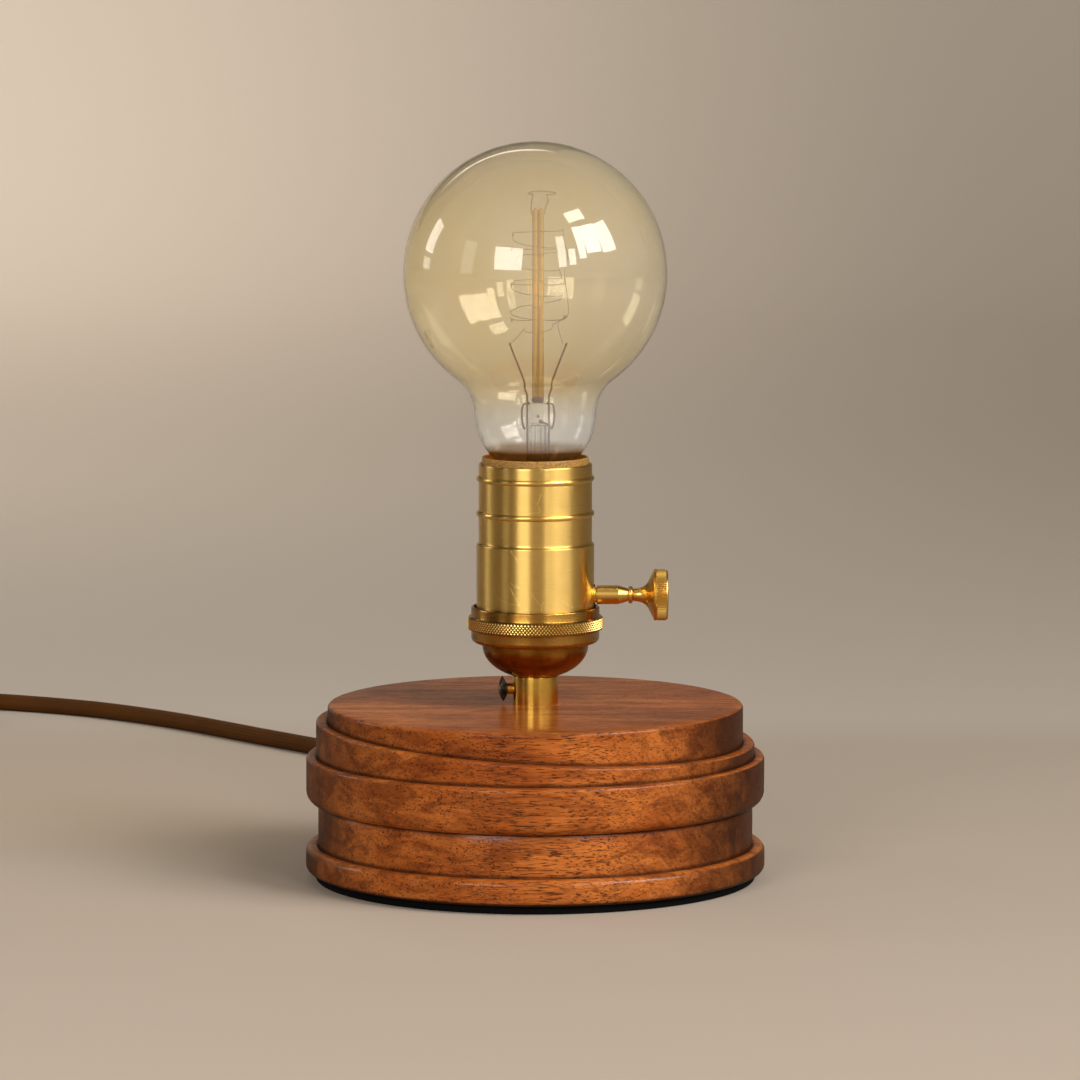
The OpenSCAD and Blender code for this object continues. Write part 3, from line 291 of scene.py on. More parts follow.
def cordPaint(name):
    p = Paint(name)
    u, v, _ = p.parts(p.add("TexCoord", out="UV"))
    lay = pi * cord.width
    right, left = (u + v / lay) * cord.braid, (u - v / lay) * cord.braid
    over = ((right.op("FLOOR") + left.op("FLOOR")) % 2).smooth(0.4, 0.6)
    yarnRight, yarnLeft = (abs((s * pi).op("SINE")) for s in (right, left))
    yarn = yarnLeft + (yarnRight - yarnLeft) * over
    strand = p.noise(3.0, detail=2)
    # painted shade and light: each yarn is lighter on its crown and darker in the grooves beside it;
    # strand noise varies the tone
    lit = (yarn * 0.7 + strand * 0.5).smooth(0.2, 1.1)
    colour = p.mix(lit, (0.022, 0.006, 0.0002), (0.155, 0.05, 0.001))
    colour = p.mix(p.noise(0.08, detail=2).smooth(0.35, 0.7) * 0.4, colour, (0.05, 0.016, 0.0006))
    p.finish({"Base Color": colour, "Roughness": 0.4, "Specular IOR Level": 0.16},
             yarn * 0.8 + strand * 0.35, 0.2)


def cordTube():
    # a closed tube along the route; U goes once round it and V is the length in millimetres
    bm = bmesh.new()
    along = bm.loops.layers.uv.new("along")
    path = throughPoints(cordRoute, cord.step)
    ahead = [(path[min(i + 1, len(path) - 1)] - path[max(i - 1, 0)]).normalized()
             for i in range(len(path))]
    side = Vector((0, 0, 1))
    rings, run, length = [], [], 0
    for i, (p, t) in enumerate(zip(path, ahead)):
        side = (side - side.dot(t) * t).normalized()
        other = t.cross(side)
        length += (p - path[i - 1]).length if i else 0
        run.append(length)
        rings.append([bm.verts.new(p + cord.width / 2 * (side * cos(a) + other * sin(a)))
                      for a in (tau * k / cord.sides for k in range(cord.sides))])
    skin(bm, rings)
    for number, face in enumerate(bm.faces):
        i, k = divmod(number, cord.sides)
        if i < len(rings) - 1:
            for loop, (u, v) in zip(face.loops, ((k, i), (k + 1, i), (k + 1, i + 1), (k, i + 1))):
                loop[along].uv = (u / cord.sides, run[v])
    return solid("cord", bm, "brownGoldSilk", sharp=60)


cordPaint("brownGoldSilk")
cordPiece = wear(cordTube(), "root", "cord_fabric", "cord_run", "cord_coil", "cord_tail")
print("cord laid")


# Finishes that several pieces share

def brassPaint(name, light, deep, rough, lines, tarnish, turning=(0.02, 0.02, 3.2), scratches=0.0,
               worn=None, stretched=0.0, lacquer=0.0):
    # fine turning lines run round the axis; tarnish darkens it in clouds; worn is the radius of
    # bright high spots; stretched draws reflections out along Z, as turning lines do
    p = Paint(name)
    brushed = p.noise(1.0, turning, 4, 0.7)
    cloud = p.noise(0.11, detail=4).smooth(0.35, 0.75)
    fleck = p.noise(1.3, detail=2).smooth(0.62, 0.8)
    colour = p.mix(cloud * tarnish + fleck * tarnish * 0.5, light, deep)
    colour = p.mix((brushed - 0.5) * lines + 0.12, colour, deep)
    height = brushed * 0.5
    if scratches:
        mark = p.cells(0.16, (1, 1, 0.35), "DISTANCE_TO_EDGE", turn=(20, 30, 12))
        scratch = mark.smooth(0.012, 0.0) * p.noise(0.14, detail=1, move=(7, 3, 5)).smooth(0.52, 0.6)
        height = height - scratch * scratches * 2
        colour = p.mix(scratch * scratches, colour, tuple(min(1, c * 1.25) for c in light))
    if worn:
        x, y, _ = p.parts()
        tips = (x * x + y * y).op("SQRT").smooth(worn - 0.2, worn + 0.1)
        colour = p.mix(tips, p.mix(0.68, colour, deep), (0.98, 0.7, 0.24))
    p.finish({"Base Color": colour, "Metallic": 1.0, "Anisotropic": stretched,
              "Anisotropic Rotation": 0.25 if stretched else 0.0, "Coat Weight": lacquer,
              "Coat Roughness": 0.12, "Roughness": brushed * 0.12 + cloud * 0.06 + (rough - 0.09)},
             height, 0.006)


def plainPaint(name, colour, rough, metal=0.0, grain=0.6, bump=0.05, **more):
    # a moulded or sheet finish with a little variation in colour and gloss
    p = Paint(name)
    fine = p.noise(grain, detail=4)
    wide = p.noise(0.09, detail=2)
    deep, pale = tuple(c * 0.72 for c in colour), tuple(min(1, c * 1.35 + 0.004) for c in colour)
    shade = p.mix(wide.smooth(0.3, 0.7) * 0.5, colour, deep)
    shade = p.mix(fine.smooth(0.5, 0.8) * 0.35, shade, pale)
    p.finish({"Base Color": shade, "Metallic": metal, "Roughness": fine * 0.16 + (rough - 0.08), **more},
             fine, bump)


def glassPaint(name, tint, byPlace=None, veil=0.0, smoke=0.0):
    # clear glass that lets light through in shadows; byPlace(p, tint) changes the tint along it,
    # veil is haze, and smoke darkens long paths through the wall, as at the rim
    p = Paint(name)
    colour = byPlace(p, tint) if byPlace else (*tint, 1)
    glass = p.add("BsdfPrincipled", {"Base Color": colour, "Roughness": 0.0, "IOR": 1.5,
                                     "Transmission Weight": 1 - veil})
    clear = p.add("BsdfTransparent", {"Color": colour})
    shade = p.add("LightPath", out="Is Shadow Ray")
    outputs = {"Surface": p.add("MixShader", {0: shade, 1: glass, 2: clear})}
    if smoke:
        outputs["Volume"] = p.add("VolumeAbsorption", {"Color": (0.3, 0.29, 0.27, 1), "Density": smoke})
    p.add("OutputMaterial", outputs)


brassPaint("satinBrass", (0.95, 0.65, 0.2), (0.52, 0.26, 0.03), 0.32, 0.3, 0.2, scratches=1.0,
           stretched=0.9)
brassPaint("polishedBrass", (0.9, 0.54, 0.1), (0.4, 0.15, 0.01), 0.19, 0.2, 0.15, stretched=0.75)
brassPaint("bronzedBrass", (0.38, 0.165, 0.024), (0.12, 0.035, 0.004), 0.27, 0.3, 0.75, stretched=0.5)
brassPaint("ringBrass", (0.58, 0.31, 0.06), (0.22, 0.085, 0.01), 0.28, 0.3, 0.5, stretched=0.7,
           lacquer=0.15)
brassPaint("knurlBrass", (0.8, 0.5, 0.13), (0.06, 0.02, 0.003), 0.36, 0.2, 0.3, worn=24.4)
brassPaint("knobBrass", (0.88, 0.57, 0.15), (0.4, 0.19, 0.02), 0.31, 0.3, 0.3, (3.2, 0.02, 0.02))
brassPaint("threadBrass", (0.8, 0.6, 0.28), (0.4, 0.24, 0.08), 0.25, 0.2, 0.4)
brassPaint("bladeBrass", (0.84, 0.66, 0.33), (0.5, 0.34, 0.13), 0.22, 0.2, 0.2)
plainPaint("zincSteel", (0.55, 0.55, 0.53), 0.34, 1.0)
plainPaint("nickel", (0.66, 0.64, 0.6), 0.25, 1.0)
plainPaint("blackPlastic", (0.018, 0.015, 0.013), 0.42, grain=0.9)
plainPaint("creamNylon", (0.7, 0.68, 0.6), 0.5)
plainPaint("blackRubber", (0.016, 0.015, 0.014), 0.62, grain=2.0, bump=0.08)
plainPaint("padRubber", (0.003, 0.003, 0.003), 0.85, grain=2.2, bump=0.15, **{"Specular IOR Level": 0.1})
plainPaint("blackInsulation", (0.02, 0.02, 0.02), 0.4)
plainPaint("whiteInsulation", (0.72, 0.7, 0.66), 0.4)
plainPaint("brownPhenolic", (0.06, 0.025, 0.012), 0.35)
plainPaint("blackenedScrew", (0.012, 0.01, 0.009), 0.3, grain=0.8, bump=0.1,
           **{"Coat Weight": 0.5, "Coat Roughness": 0.2})
plainPaint("glassInsulator", (0.006, 0.006, 0.009), 0.12)
plainPaint("solder", (0.5, 0.5, 0.52), 0.4, 1.0)
plainPaint("capCement", (0.15, 0.085, 0.035), 0.85, grain=1.5, bump=0.2)
plainPaint("leadWire", (0.1, 0.032, 0.004), 0.35, 0.8, grain=1.2)
plainPaint("supportWire", (0.24, 0.13, 0.03), 0.4, 0.7, grain=1.5)
plainPaint("filamentWire", (0.11, 0.07, 0.03), 0.5, 0.4, grain=3.0)
plainPaint("innerCordSilk", (0.16, 0.075, 0.015), 0.5, grain=1.6, bump=0.3)
glassPaint("clearGlass", (0.97, 0.97, 0.96))


# Wooden base: a foot, a waist, a band, a slanted ledge and a top disc; fall and dip are degrees

base = Sizes(footR=83.4, footRound=2.4, waistR=78.9, bandR=83.2, edge=1.4, ledgeR=79.6, lip=1, fall=3,
             dip=0.8, topR=75.4, zWood=3, zFoot=12.5, zMiddle=20, zWaist=28, zBand=45, zLedge=53.7,
             zTop=63.5, ledgeWall=3.2, rings=(60, 40, 20), recessR=30, zRecess=24, holeR=5.2, crease=0.3,
             segments=288, uneven=0.12)
slopeX, slopeY = -tan(radians(base.fall)), tan(radians(base.dip))


def woodPaint(name):
    p = Paint(name)
    x, y, z = p.parts()
    radius = (x * x + y * y).op("SQRT")
    angle = x.op("ARCTAN2", -y) * (180 / pi)  # 0 in front, + towards the knob
    facing = p.parts(p.add("NewGeometry", out="Normal"))[2]
    flat = facing.smooth(0.5, 0.9)
    wall = 1 - flat

    # the fibres run along X; clouds, bands and figure change the stain's depth
    cloud = p.noise(0.035, (0.7, 1, 1.3), 4, warp=0.6)
    band = p.noise(0.10, (0.12, 1, 1.6), 5, 0.6, 0.9)
    fine = p.noise(0.9, (0.06, 1, 1.3), 4, 0.65)
    figure = p.noise(0.15, (1.6, 1, 0.5), 4, 0.6, 1.4, turn=(0, 38, 0))
    right = angle.smooth(12, 40) * wall
    sides = abs(angle + 4).smooth(26, 78) * wall
    warm = p.mix(cloud.smooth(0.3, 0.72), (0.37, 0.085, 0.011), (0.61, 0.18, 0.033))
    warm = p.mix(band.smooth(0.42, 0.64) * 0.6, warm, (0.13, 0.022, 0.003))
    warm = p.mix(fine.smooth(0.47, 0.68) * 0.5, warm, (0.07, 0.013, 0.002))
    warm = p.mix(figure.smooth(0.44, 0.66) * right * 0.5, warm, (0.06, 0.011, 0.002))
    # painted shade: the walls darken as they turn from the front towards either side, and more on the
    # right
    sideShade = sides * (p.noise(0.06, (1, 1, 0.5)).smooth(0.2, 0.7) * 0.5 + 0.42)
    sideShade = (sideShade + angle.smooth(25, 62) * wall * 0.3).op("MINIMUM", 0.92)
    warm = p.mix(sideShade, warm, (0.032, 0.008, 0.002))

    # pores: long dashes in front and on top, round ends left of the middle
    front = angle.smooth(-26, -6) * angle.smooth(42, 14) * wall + flat * 0.55
    dash = p.noise(1.75, (0.11, 1, 1.2), 2, 0.5, 0.3).smooth(0.56, 0.65) * front
    hair = p.noise(2.1, (0.05, 1, 1.2), 2, 0.5, 0.2, move=(3, 1, 8)).smooth(0.56, 0.66)
    spot = p.cells(0.85, (0.85, 1, 1.25)).smooth(0.33, 0.17)
    ends = (spot * p.noise(0.16, detail=2).smooth(0.36, 0.52) * angle.smooth(-70, -46)
            * angle.smooth(6, -16) * wall)
    stray = p.cells(0.36, (0.8, 1, 1.2), move=(11, 5, 3)).smooth(0.17, 0.07)
    pore = (dash + hair * 0.35 + ends + stray * 0.9).op("MINIMUM", 1.0)
    warm = p.mix(pore * 0.78, warm, (0.03, 0.007, 0.002))

    # painted shade gathers in the corners under each step and at the back of the turns
    plane = x * slopeX + y * slopeY + base.zLedge
    corners = None
    for level, inner in ((base.zFoot, base.waistR), (base.zWaist, base.waistR),
                         (base.zBand, base.ledgeR), (plane, base.topR)):
        near = (abs(z - level) + (radius - inner).op("MAXIMUM", 0.0)).smooth(1.5, 0.25)
        corners = near if corners is None else corners.op("MAXIMUM", near)
    corners = corners * (p.noise(0.25, detail=2) * 0.7 + 0.55)
    warm = p.mix(corners.op("MINIMUM", 1.0) * 0.8, warm, (0.03, 0.008, 0.003))
    fleck = p.cells(0.4, move=(3, 9, 2)).smooth(0.09, 0.03) * p.noise(0.07, detail=1).smooth(0.5, 0.62)
    warm = p.mix(fleck * 0.7, warm, (0.75, 0.4, 0.16))
    # painted shade: the wood darkens over its lowest 1.7 mm, just above the pad
    warm = p.mix(z.smooth(4.7, 3.7) * 0.9, warm, (0.012, 0.005, 0.003))

    worn = p.noise(0.3, (0.4, 1, 1))
    p.finish({"Base Color": warm, "Roughness": worn * 0.16 + pore * 0.2 + corners * 0.1 + 0.36,
              "Specular IOR Level": 0.1, "Coat Weight": facing.smooth(0.1, 0.35) * 0.38 + 0.07,
              "Coat Roughness": 0.19, "Coat IOR": 1.45},
             fine * 0.2 + cloud * 0.5 - pore * 0.7 - corners * 0.5 + worn * 0.4, 0.18)


def baseOutline():
    # a third value marks the points whose height is counted from the slanted plane
    b, c = base, base.crease
    foot, under = b.footRound, b.bandR - b.waistR
    level = ([(b.recessR, b.zWood)] + arc(b.footR - foot, b.zWood + foot, foot, -90, 0)
             + corner(b.footR, b.zFoot, foot)
             + [(b.waistR + 1, b.zFoot), (b.waistR + c, b.zFoot - 0.1), (b.waistR, b.zFoot - c),
                (b.waistR, b.zFoot + 1), (b.waistR, b.zMiddle), (b.waistR, b.zWaist - 0.6),
                (b.waistR - c, b.zWaist - 0.1), (b.waistR + c, b.zWaist + 0.05)]
             + arc(b.waistR, b.zWaist + under, under, -80, 0) + corner(b.bandR, b.zBand, b.edge)
             + [(b.ledgeR + 0.8, b.zBand), (b.ledgeR + c * 0.6, b.zBand - 0.1),
                (b.ledgeR, b.zBand - c), (b.ledgeR, b.zBand + 0.5)])
    slanted = ([(b.ledgeR, -b.ledgeWall)] + corner(b.ledgeR, 0, b.lip)
               + [(b.topR + 0.9, 0), (b.topR + c, -0.05), (b.topR, -c), (b.topR, 0.5)])
    above = ([(b.topR, b.zTop - b.edge - 0.6)] + corner(b.topR, b.zTop, b.edge)
             + [(r, b.zTop) for r in (*b.rings, b.holeR)]
             + [(b.holeR, b.zRecess), (b.recessR, b.zRecess)])
    return level + [(*q, 1) for q in slanted] + above


def baseShape(point, angle):
    r, h, *slanted = point
    if slanted:
        h += base.zLedge + r * cos(angle) * slopeX + r * sin(angle) * slopeY
    if r > base.recessR + 1:  # the turned faces are never quite true
        seen = Vector((r * cos(angle), r * sin(angle), h * 1.5)) * 0.05
        r += base.uneven * noise.noise(seen)
        if base.zWood + 1 < h < base.zTop - 1:
            h += base.uneven * 0.5 * noise.noise(seen + Vector((9, 4, 7)))
    return r, h


woodPaint("stainedWood")
turned("turned_base", baseOutline(), "stainedWood", base.segments, "root", "stained_wood", "wood_base",
       shape=baseShape)

pad = Sizes(radius=79.9, thick=3, round=0.5)
turned("foam_pad", [(0, 0)] + arc(pad.radius - pad.round, pad.round, pad.round, -90, 0, 4)
       + corner(pad.radius, pad.thick, pad.round, 4) + [(0, pad.thick)],
       "padRubber", 192, "root", "pad_rubber", "base_pad")
print("base turned")


# Node trees that run on a piece: each ends with real geometry in the given material

def openTree(name, inputs):
    n = Nodes(bpy.data.node_groups.new(name, "GeometryNodeTree"))
    for label, kind in {"Geometry": "Geometry", **inputs, "Material": "Material"}.items():
        n.tree.interface.new_socket(label, in_out="INPUT", socket_type="NodeSocket" + kind)
    n.tree.interface.new_socket("Geometry", in_out="OUTPUT", socket_type="NodeSocketGeometry")
    return n, n.add("NodeGroupInput")


def closeTree(n, given, geometry):
    real = n.add("GeometryNodeRealizeInstances", {0: geometry})
    n.add("NodeGroupOutput", {0: n.add("GeometryNodeSetMaterial", {
        "Geometry": real, "Material": given.out("Material")})})
    return n.tree


def knurlTree():  # teeth round a ring, set in rows
    n, given = openTree("knurlRows", {
        "Tooth": "Object", "Count": "Int", "Rows": "Int", "Radius": "Float", "Start": "Float",
        "Row Gap": "Float", "Stagger": "Float", "Tooth Size": "Vector"})
    count, rows = given.out("Count"), given.out("Rows")
    index = n.add("GeometryNodeInputIndex")
    row = (index / count).op("FLOOR")
    angle = ((index % count) + row * given.out("Stagger")) * tau / count
    spot = n.add("CombineXYZ", {"X": angle.op("COSINE") * given.out("Radius"),
                                "Y": angle.op("SINE") * given.out("Radius"),
                                "Z": row * given.out("Row Gap") + given.out("Start")})
    points = n.add("GeometryNodePoints", {"Count": count * rows, "Position": spot})
    tooth = n.add("GeometryNodeObjectInfo", {"Object": given.out("Tooth")}, "Geometry")
    turn = n.add("FunctionNodeEulerToRotation", {
        0: n.add("CombineXYZ", {"X": 0.0, "Y": pi / 2, "Z": angle})})
    teeth = n.add("GeometryNodeInstanceOnPoints", {
        "Points": points, "Instance": tooth, "Rotation": turn, "Scale": given.out("Tooth Size")})
    both = n.add("GeometryNodeJoinGeometry", {0: teeth})
    n.tree.links.new(given.out("Geometry").socket, both.socket.node.inputs[0])
    return closeTree(n, given, both)


def wireTree():  # a round wire along the edges of a piece
    n, given = openTree("wireSweep", {"Radius": "Float", "Sides": "Int"})
    curve = n.add("GeometryNodeMeshToCurve", {"Mesh": given.out("Geometry")})
    circle = n.add("GeometryNodeCurvePrimitiveCircle", {
        "Resolution": given.out("Sides"), "Radius": given.out("Radius")})
    swept = n.add("GeometryNodeCurveToMesh", {"Curve": curve, "Profile Curve": circle, "Fill Caps": True})
    return closeTree(n, given, n.add("GeometryNodeSetShadeSmooth", {0: swept, "Shade Smooth": True}))


def applyTree(piece, tree, paint, values, place=None):
    # runs a node tree on a piece and keeps the result as a plain mesh
    change = piece.modifiers.new(tree.name, "NODES")
    change.node_group = tree
    inputs = {s.name: s.identifier for s in tree.interface.items_tree
              if s.item_type == "SOCKET" and s.in_out == "INPUT"}
    for name, value in {**values, "Material": paints[paint]}.items():
        change[inputs[name]] = value
    result = bpy.data.meshes.new_from_object(piece.evaluated_get(bpy.context.evaluated_depsgraph_get()))
    piece.modifiers.remove(change)
    result.name = piece.name
    piece.data = result
    if place:
        piece.data.transform(Matrix.Scale(mm, 4) @ place @ Matrix.Scale(1 / mm, 4))
    return piece


def toothShape(name, corners, faces):  # one unit wide and high
    mesh = bpy.data.meshes.new(name)
    mesh.from_pydata(corners, [], faces)
    return bpy.data.objects.new(name, mesh)


knurl, sweep = knurlTree(), wireTree()
diamond = toothShape("diamondTooth", [(1, 0, 0), (0, 1, 0), (-1, 0, 0), (0, -1, 0), (0, 0, 1)],
                     [(0, 1, 4), (1, 2, 4), (2, 3, 4), (3, 0, 4), (3, 2, 1, 0)])
rib = toothShape("ribTooth", [(1, -1, 0), (1, 1, 0), (-1, 1, 0), (-1, -1, 0), (0.86, 0, 1), (-0.86, 0, 1)],
                 [(0, 1, 4), (1, 2, 5, 4), (2, 3, 5), (3, 0, 4, 5), (3, 2, 1, 0)])


# Socket, from the hub up

hub = Sizes(radius=8.25, bore=4.85, z=63.5, top=73.9, edge=0.35, neckR=6.5, cap=0.9, lipR=7.3, lip=0.9)
turned("hub", [(hub.bore, hub.z), (hub.radius, hub.z)] + corner(hub.radius, hub.top, hub.edge, 4)
       + [(hub.neckR, hub.top), (hub.neckR, hub.top + hub.cap), (hub.lipR, hub.top + hub.cap),
          (hub.lipR, hub.top + hub.cap + hub.lip), (hub.bore, hub.top + hub.cap + hub.lip)],
       "polishedBrass", 128, "root", "satin_brass", "cap_hub")

cap = Sizes(radius=19.2, bowl=12.1, wall=0.9, bore=6.55, zBowl=84.826, zCollar=95.226, top=100.026,
            collarR=20.35, steps=40)


def bowlLine(inset):
    rx, rz = cap.radius - inset, cap.bowl - inset
    start = acos(hub.radius / rx)
    angles = [start * (1 - i / cap.steps) for i in range(cap.steps + 1)]
    return [(rx * cos(a), cap.zBowl - rz * sin(a)) for a in angles]


capFloor = hub.top + cap.wall
turned("cap_bowl", [(cap.bore, hub.top)] + bowlLine(0)
       + [(cap.radius, cap.zCollar), (cap.collarR, cap.zCollar), (cap.collarR, cap.top),
          (cap.radius - cap.wall, cap.top)]
       + [(r, max(z, capFloor)) for r, z in bowlLine(cap.wall)[::-1]] + [(cap.bore, capFloor)],
       "bronzedBrass", 160, "root", "aged_brass", "socket_cap")

ring = Sizes(bore=19.3, bandR=23.2, footR=1.9, flangeR=24.3, core=24.18, lipR=23.25, lip=1.0, lipEdge=0.6,
             z=86.03, flange=90.73, flangeTop=95.53, seat=95.126, top=99.126, edge=0.5,
             count=120, rows=5, tooth=0.55, margin=0.2)


def ringOutline():
    r = ring
    return ([(r.bore, r.z + 0.2), (r.bore + 0.3, r.z)]
            + arc(r.bandR - r.footR, r.z + r.footR, r.footR, -78, 0)
            + [(r.bandR, r.flange - 0.5), (r.bandR + 0.15, r.flange - 0.1),
               (r.flangeR - r.edge, r.flange), (r.core, r.flange + r.margin),
               (r.core, r.flangeTop - r.margin), (r.flangeR - r.edge, r.flangeTop),
               (r.lipR + 0.1, r.flangeTop + 0.15), (r.lipR, r.flangeTop + 0.5)]
            + corner(r.lipR, r.top, r.lipEdge, 6)
            + [(r.lipR - r.lip, r.top - 0.1), (r.lipR - r.lip, r.seat + 0.074), (r.bore, r.seat)])


turned("lock_ring", ringOutline(), "ringBrass", 256, "root", "aged_brass", "lock_ring")
gripLow, gripHigh = ring.flange + ring.margin, ring.flangeTop - ring.margin
rowGap = (gripHigh - gripLow) / (ring.rows + 1)
grip = lathe("ring_knurl", [(ring.flangeR - 0.4, gripLow), (ring.flangeR - 0.1, gripLow),
                            (ring.flangeR - 0.1, gripHigh), (ring.flangeR - 0.4, gripHigh)],
             "knurlBrass", 256)
applyTree(grip, knurl, "knurlBrass", {
    "Tooth": diamond, "Count": ring.count, "Rows": ring.rows, "Stagger": 0.5,
    "Radius": (ring.flangeR - 0.14) * mm, "Start": (gripLow + rowGap) * mm, "Row Gap": rowGap * mm,
    "Tooth Size": (rowGap * mm, pi * ring.flangeR / ring.count * mm, ring.tooth * mm)})
wear(grip, "root", "aged_brass")

shell = Sizes(radius=21.3, topR=20.5, wall=0.9, z=95.326, step=122.626, top=151.126, edge=0.5,
              beads=(133.03, 145.73), beadR=1.1, beadAt=20.25)


def shellOutline():
    r, t, step, wall = shell.radius, shell.topR, shell.step, shell.wall
    beads = [arc(shell.beadAt, z, shell.beadR, -76, 76, 14) for z in shell.beads]
    return ([(r - wall, shell.z), (r - 0.2, shell.z), (r, shell.z + 0.2), (r, step - 1.1)]
            + bezier((r, step - 0.9), (r, step - 0.5), (t, step - 0.4), (t, step), 6)
            + [(t, step + 0.8)] + beads[0] + beads[1] + [(t, shell.top - 1)]
            + corner(t, shell.top, shell.edge, 5)
            + [(t - wall, shell.top), (t - wall, step), (r - wall, step - 1)])


turned("socket_shell", shellOutline(), "satinBrass", 256, "root", "satin_brass", "socket_shell")

switch = Sizes(z=103.176, ferruleR=4.0, inner=20.2, outer=20.6, face=21.7, edge=0.3, stemR=1.55)
turned("ferrule", [(switch.stemR, switch.inner), (switch.ferruleR, switch.outer)]
       + corner(switch.ferruleR, switch.face, switch.edge, 4) + [(switch.stemR, switch.face)],
       "polishedBrass", 64, "root", "aged_brass", "shell_ferrule", place=onX(switch.z))


def fibrePaint(name):
    p = Paint(name)
    fibres = p.noise(1.2, (1, 1, 2.2), 5, 0.7)
    speck = p.cells(0.5).smooth(0.2, 0.1)
    colour = p.mix(fibres.smooth(0.35, 0.65), (0.2, 0.09, 0.012), (0.52, 0.29, 0.065))
    colour = p.mix(speck * 0.8, colour, (0.03, 0.011, 0.003))
    p.finish({"Base Color": colour, "Roughness": 0.5, "Coat Weight": 0.2, "Coat Roughness": 0.25},
             fibres - speck * 0.6, 0.15)


fibrePaint("pressedFibre")
liner = Sizes(radius=19.3, inner=18.5, round=0.4, z=100.1, top=153.5)
shoulder = liner.top - liner.round
turned("fibre_liner", [(liner.inner, liner.z), (liner.radius, liner.z), (liner.radius, shoulder)]
       + arc((liner.radius + liner.inner) / 2, shoulder, liner.round, 0, 180) + [(liner.inner, shoulder)],
       "pressedFibre", 160, "root", "brown_fibre", "insulating_liner")


# Switch knob and thumb screw: outlines along +X from the lamp's axis

knob = Sizes(start=21.8, sleeve=3.4, neck=2.35, grip=9.3, back=42.8, face=48.3, dish=0.35, bore=1.5,
             teeth=80, tooth=0.36)


def knobOutline():
    k, back, neck, sleeve, grip = knob, knob.back, knob.neck, knob.sleeve, knob.grip
    return ([(k.bore, k.start), (sleeve - 0.6, k.start), (sleeve - 0.6, k.start + 0.5),
             (sleeve - 0.15, k.start + 0.55), (sleeve, k.start + 0.7), (sleeve, back - 13.2)]
            + bezier((sleeve, back - 12.8), (sleeve - 0.1, back - 12.3), (neck + 0.35, back - 10.6),
                     (neck + 0.1, back - 9.7), 6)
            + [(neck, back - 9.4), (neck - 0.3, back - 9.25), (neck - 0.3, back - 9.1)]
            + arc(neck - 0.1, back - 8.3, 0.9, -62, 62)
            + [(neck - 0.3, back - 7.45), (neck - 0.3, back - 7.3), (neck, back - 7.15)]
            + bezier((neck, back - 6.4), (neck + 0.4, back - 1.7), (grip - 3.6, back - 1.9),
                     (grip - 0.9, back - 0.1), 14)
            + [(grip - 0.3, back + 0.05), (grip, back + 0.4), (grip, back + 1.0),
               (grip - 0.35, back + 1.2), (grip - 0.35, k.face - 0.75), (grip - 0.5, k.face - 0.45)]
            + [((grip - 0.6) * s, k.face - k.dish * s * s) for s in (1, 0.8, 0.6, 0.4, 0.2)]
            + [(0, k.face), (0, k.start + 0.01)])


knobPiece = lathe("switch_knob", knobOutline(), "knobBrass", 96)
applyTree(knobPiece, knurl, "knobBrass", {
    "Tooth": rib, "Count": knob.teeth, "Rows": 1, "Stagger": 0.0, "Row Gap": 0.0,
    "Radius": (knob.grip - 0.4) * mm, "Start": (knob.back + knob.face + 0.3) / 2 * mm,
    "Tooth Size": ((knob.face - knob.back - 1.9) / 2 * mm,
                   pi * knob.grip / knob.teeth * 0.92 * mm, knob.tooth * mm)}, onX(switch.z))
wear(knobPiece, "switch", "aged_brass", "switch_knob")

thumb = Sizes(z=68.9, radius=2.0, edge=0.2, reach=10.2, inner=4.9, height=9.2, wide=1.95, thick=0.95,
              twist=(62, 52), lean=0.35, dish=0.75, stand=1.75, bead=0.32, steps=40, sides=28)
turned("thumb_shank", [(0, -thumb.reach), (thumb.radius - thumb.edge, -thumb.reach),
                       (thumb.radius, -thumb.reach + thumb.edge), (thumb.radius, -thumb.inner),
                       (0, -thumb.inner)],
       "polishedBrass", 48, "thumb_shank", "satin_brass", "thumb_screw_shank", place=onX(thumb.z))


def thumbWing():
    # a leaf-shaped wing with pointed ends, twisted along its height, on a small cone
    t, bm, rings = thumb, bmesh.new(), []
    for i in range(t.steps + 1):
        s = i / t.steps
        full = sin(pi * s ** 0.85)
        wide, thick = max(t.wide * full ** 0.8, 0.1), max(t.thick * full ** 0.9, 0.08)
        twist = radians(t.twist[0] - t.twist[1] * s)
        middle = -t.reach - t.stand + (t.lean * (1 - s) ** 3 - 0.15 * full)
        ring = []
        for a in (tau * k / t.sides for k in range(t.sides)):
            u, v = wide * cos(a), thick * sin(a) - t.dish * full * cos(a) ** 2
            ring.append(bm.verts.new((middle + u * cos(twist) - v * sin(twist),
                                      u * sin(twist) + v * cos(twist), t.height * (s - 0.5))))
        rings.append(ring)
    skin(bm, rings)
    wing = len(bm.verts)
    turnInto(bm, [(r, -t.reach - back) for r, back in (
        (0, 2.0), (0.9, 2.0), (1.5, 1.2), (2.3, 0.5), (2.45, 0.15), (2.2, 0.02), (0, 0.02))], 32)
    bm.verts.ensure_lookup_table()
    bmesh.ops.transform(bm, matrix=Matrix.Rotation(radians(90), 4, "Y"), verts=bm.verts[wing:])
    tip = Matrix.Translation((-t.reach - t.stand, 0.1, t.height / 2 - 0.25))
    bmesh.ops.create_uvsphere(bm, u_segments=12, v_segments=8, radius=t.bead, matrix=tip)
    return solid("thumb_wing", bm, "blackenedScrew", Matrix.Translation((0, 0, t.z)), 40)


wear(thumbWing(), "thumb_wing", "black_screw", "thumb_screw_wing")
print("socket built")


# Bulb: screw cap and the shell that it turns in; a third value marks the points of a thread

thread = Sizes(radius=12.7, depth=0.45, pitch=3.629, gap=0.4, steps=14, segments=96)


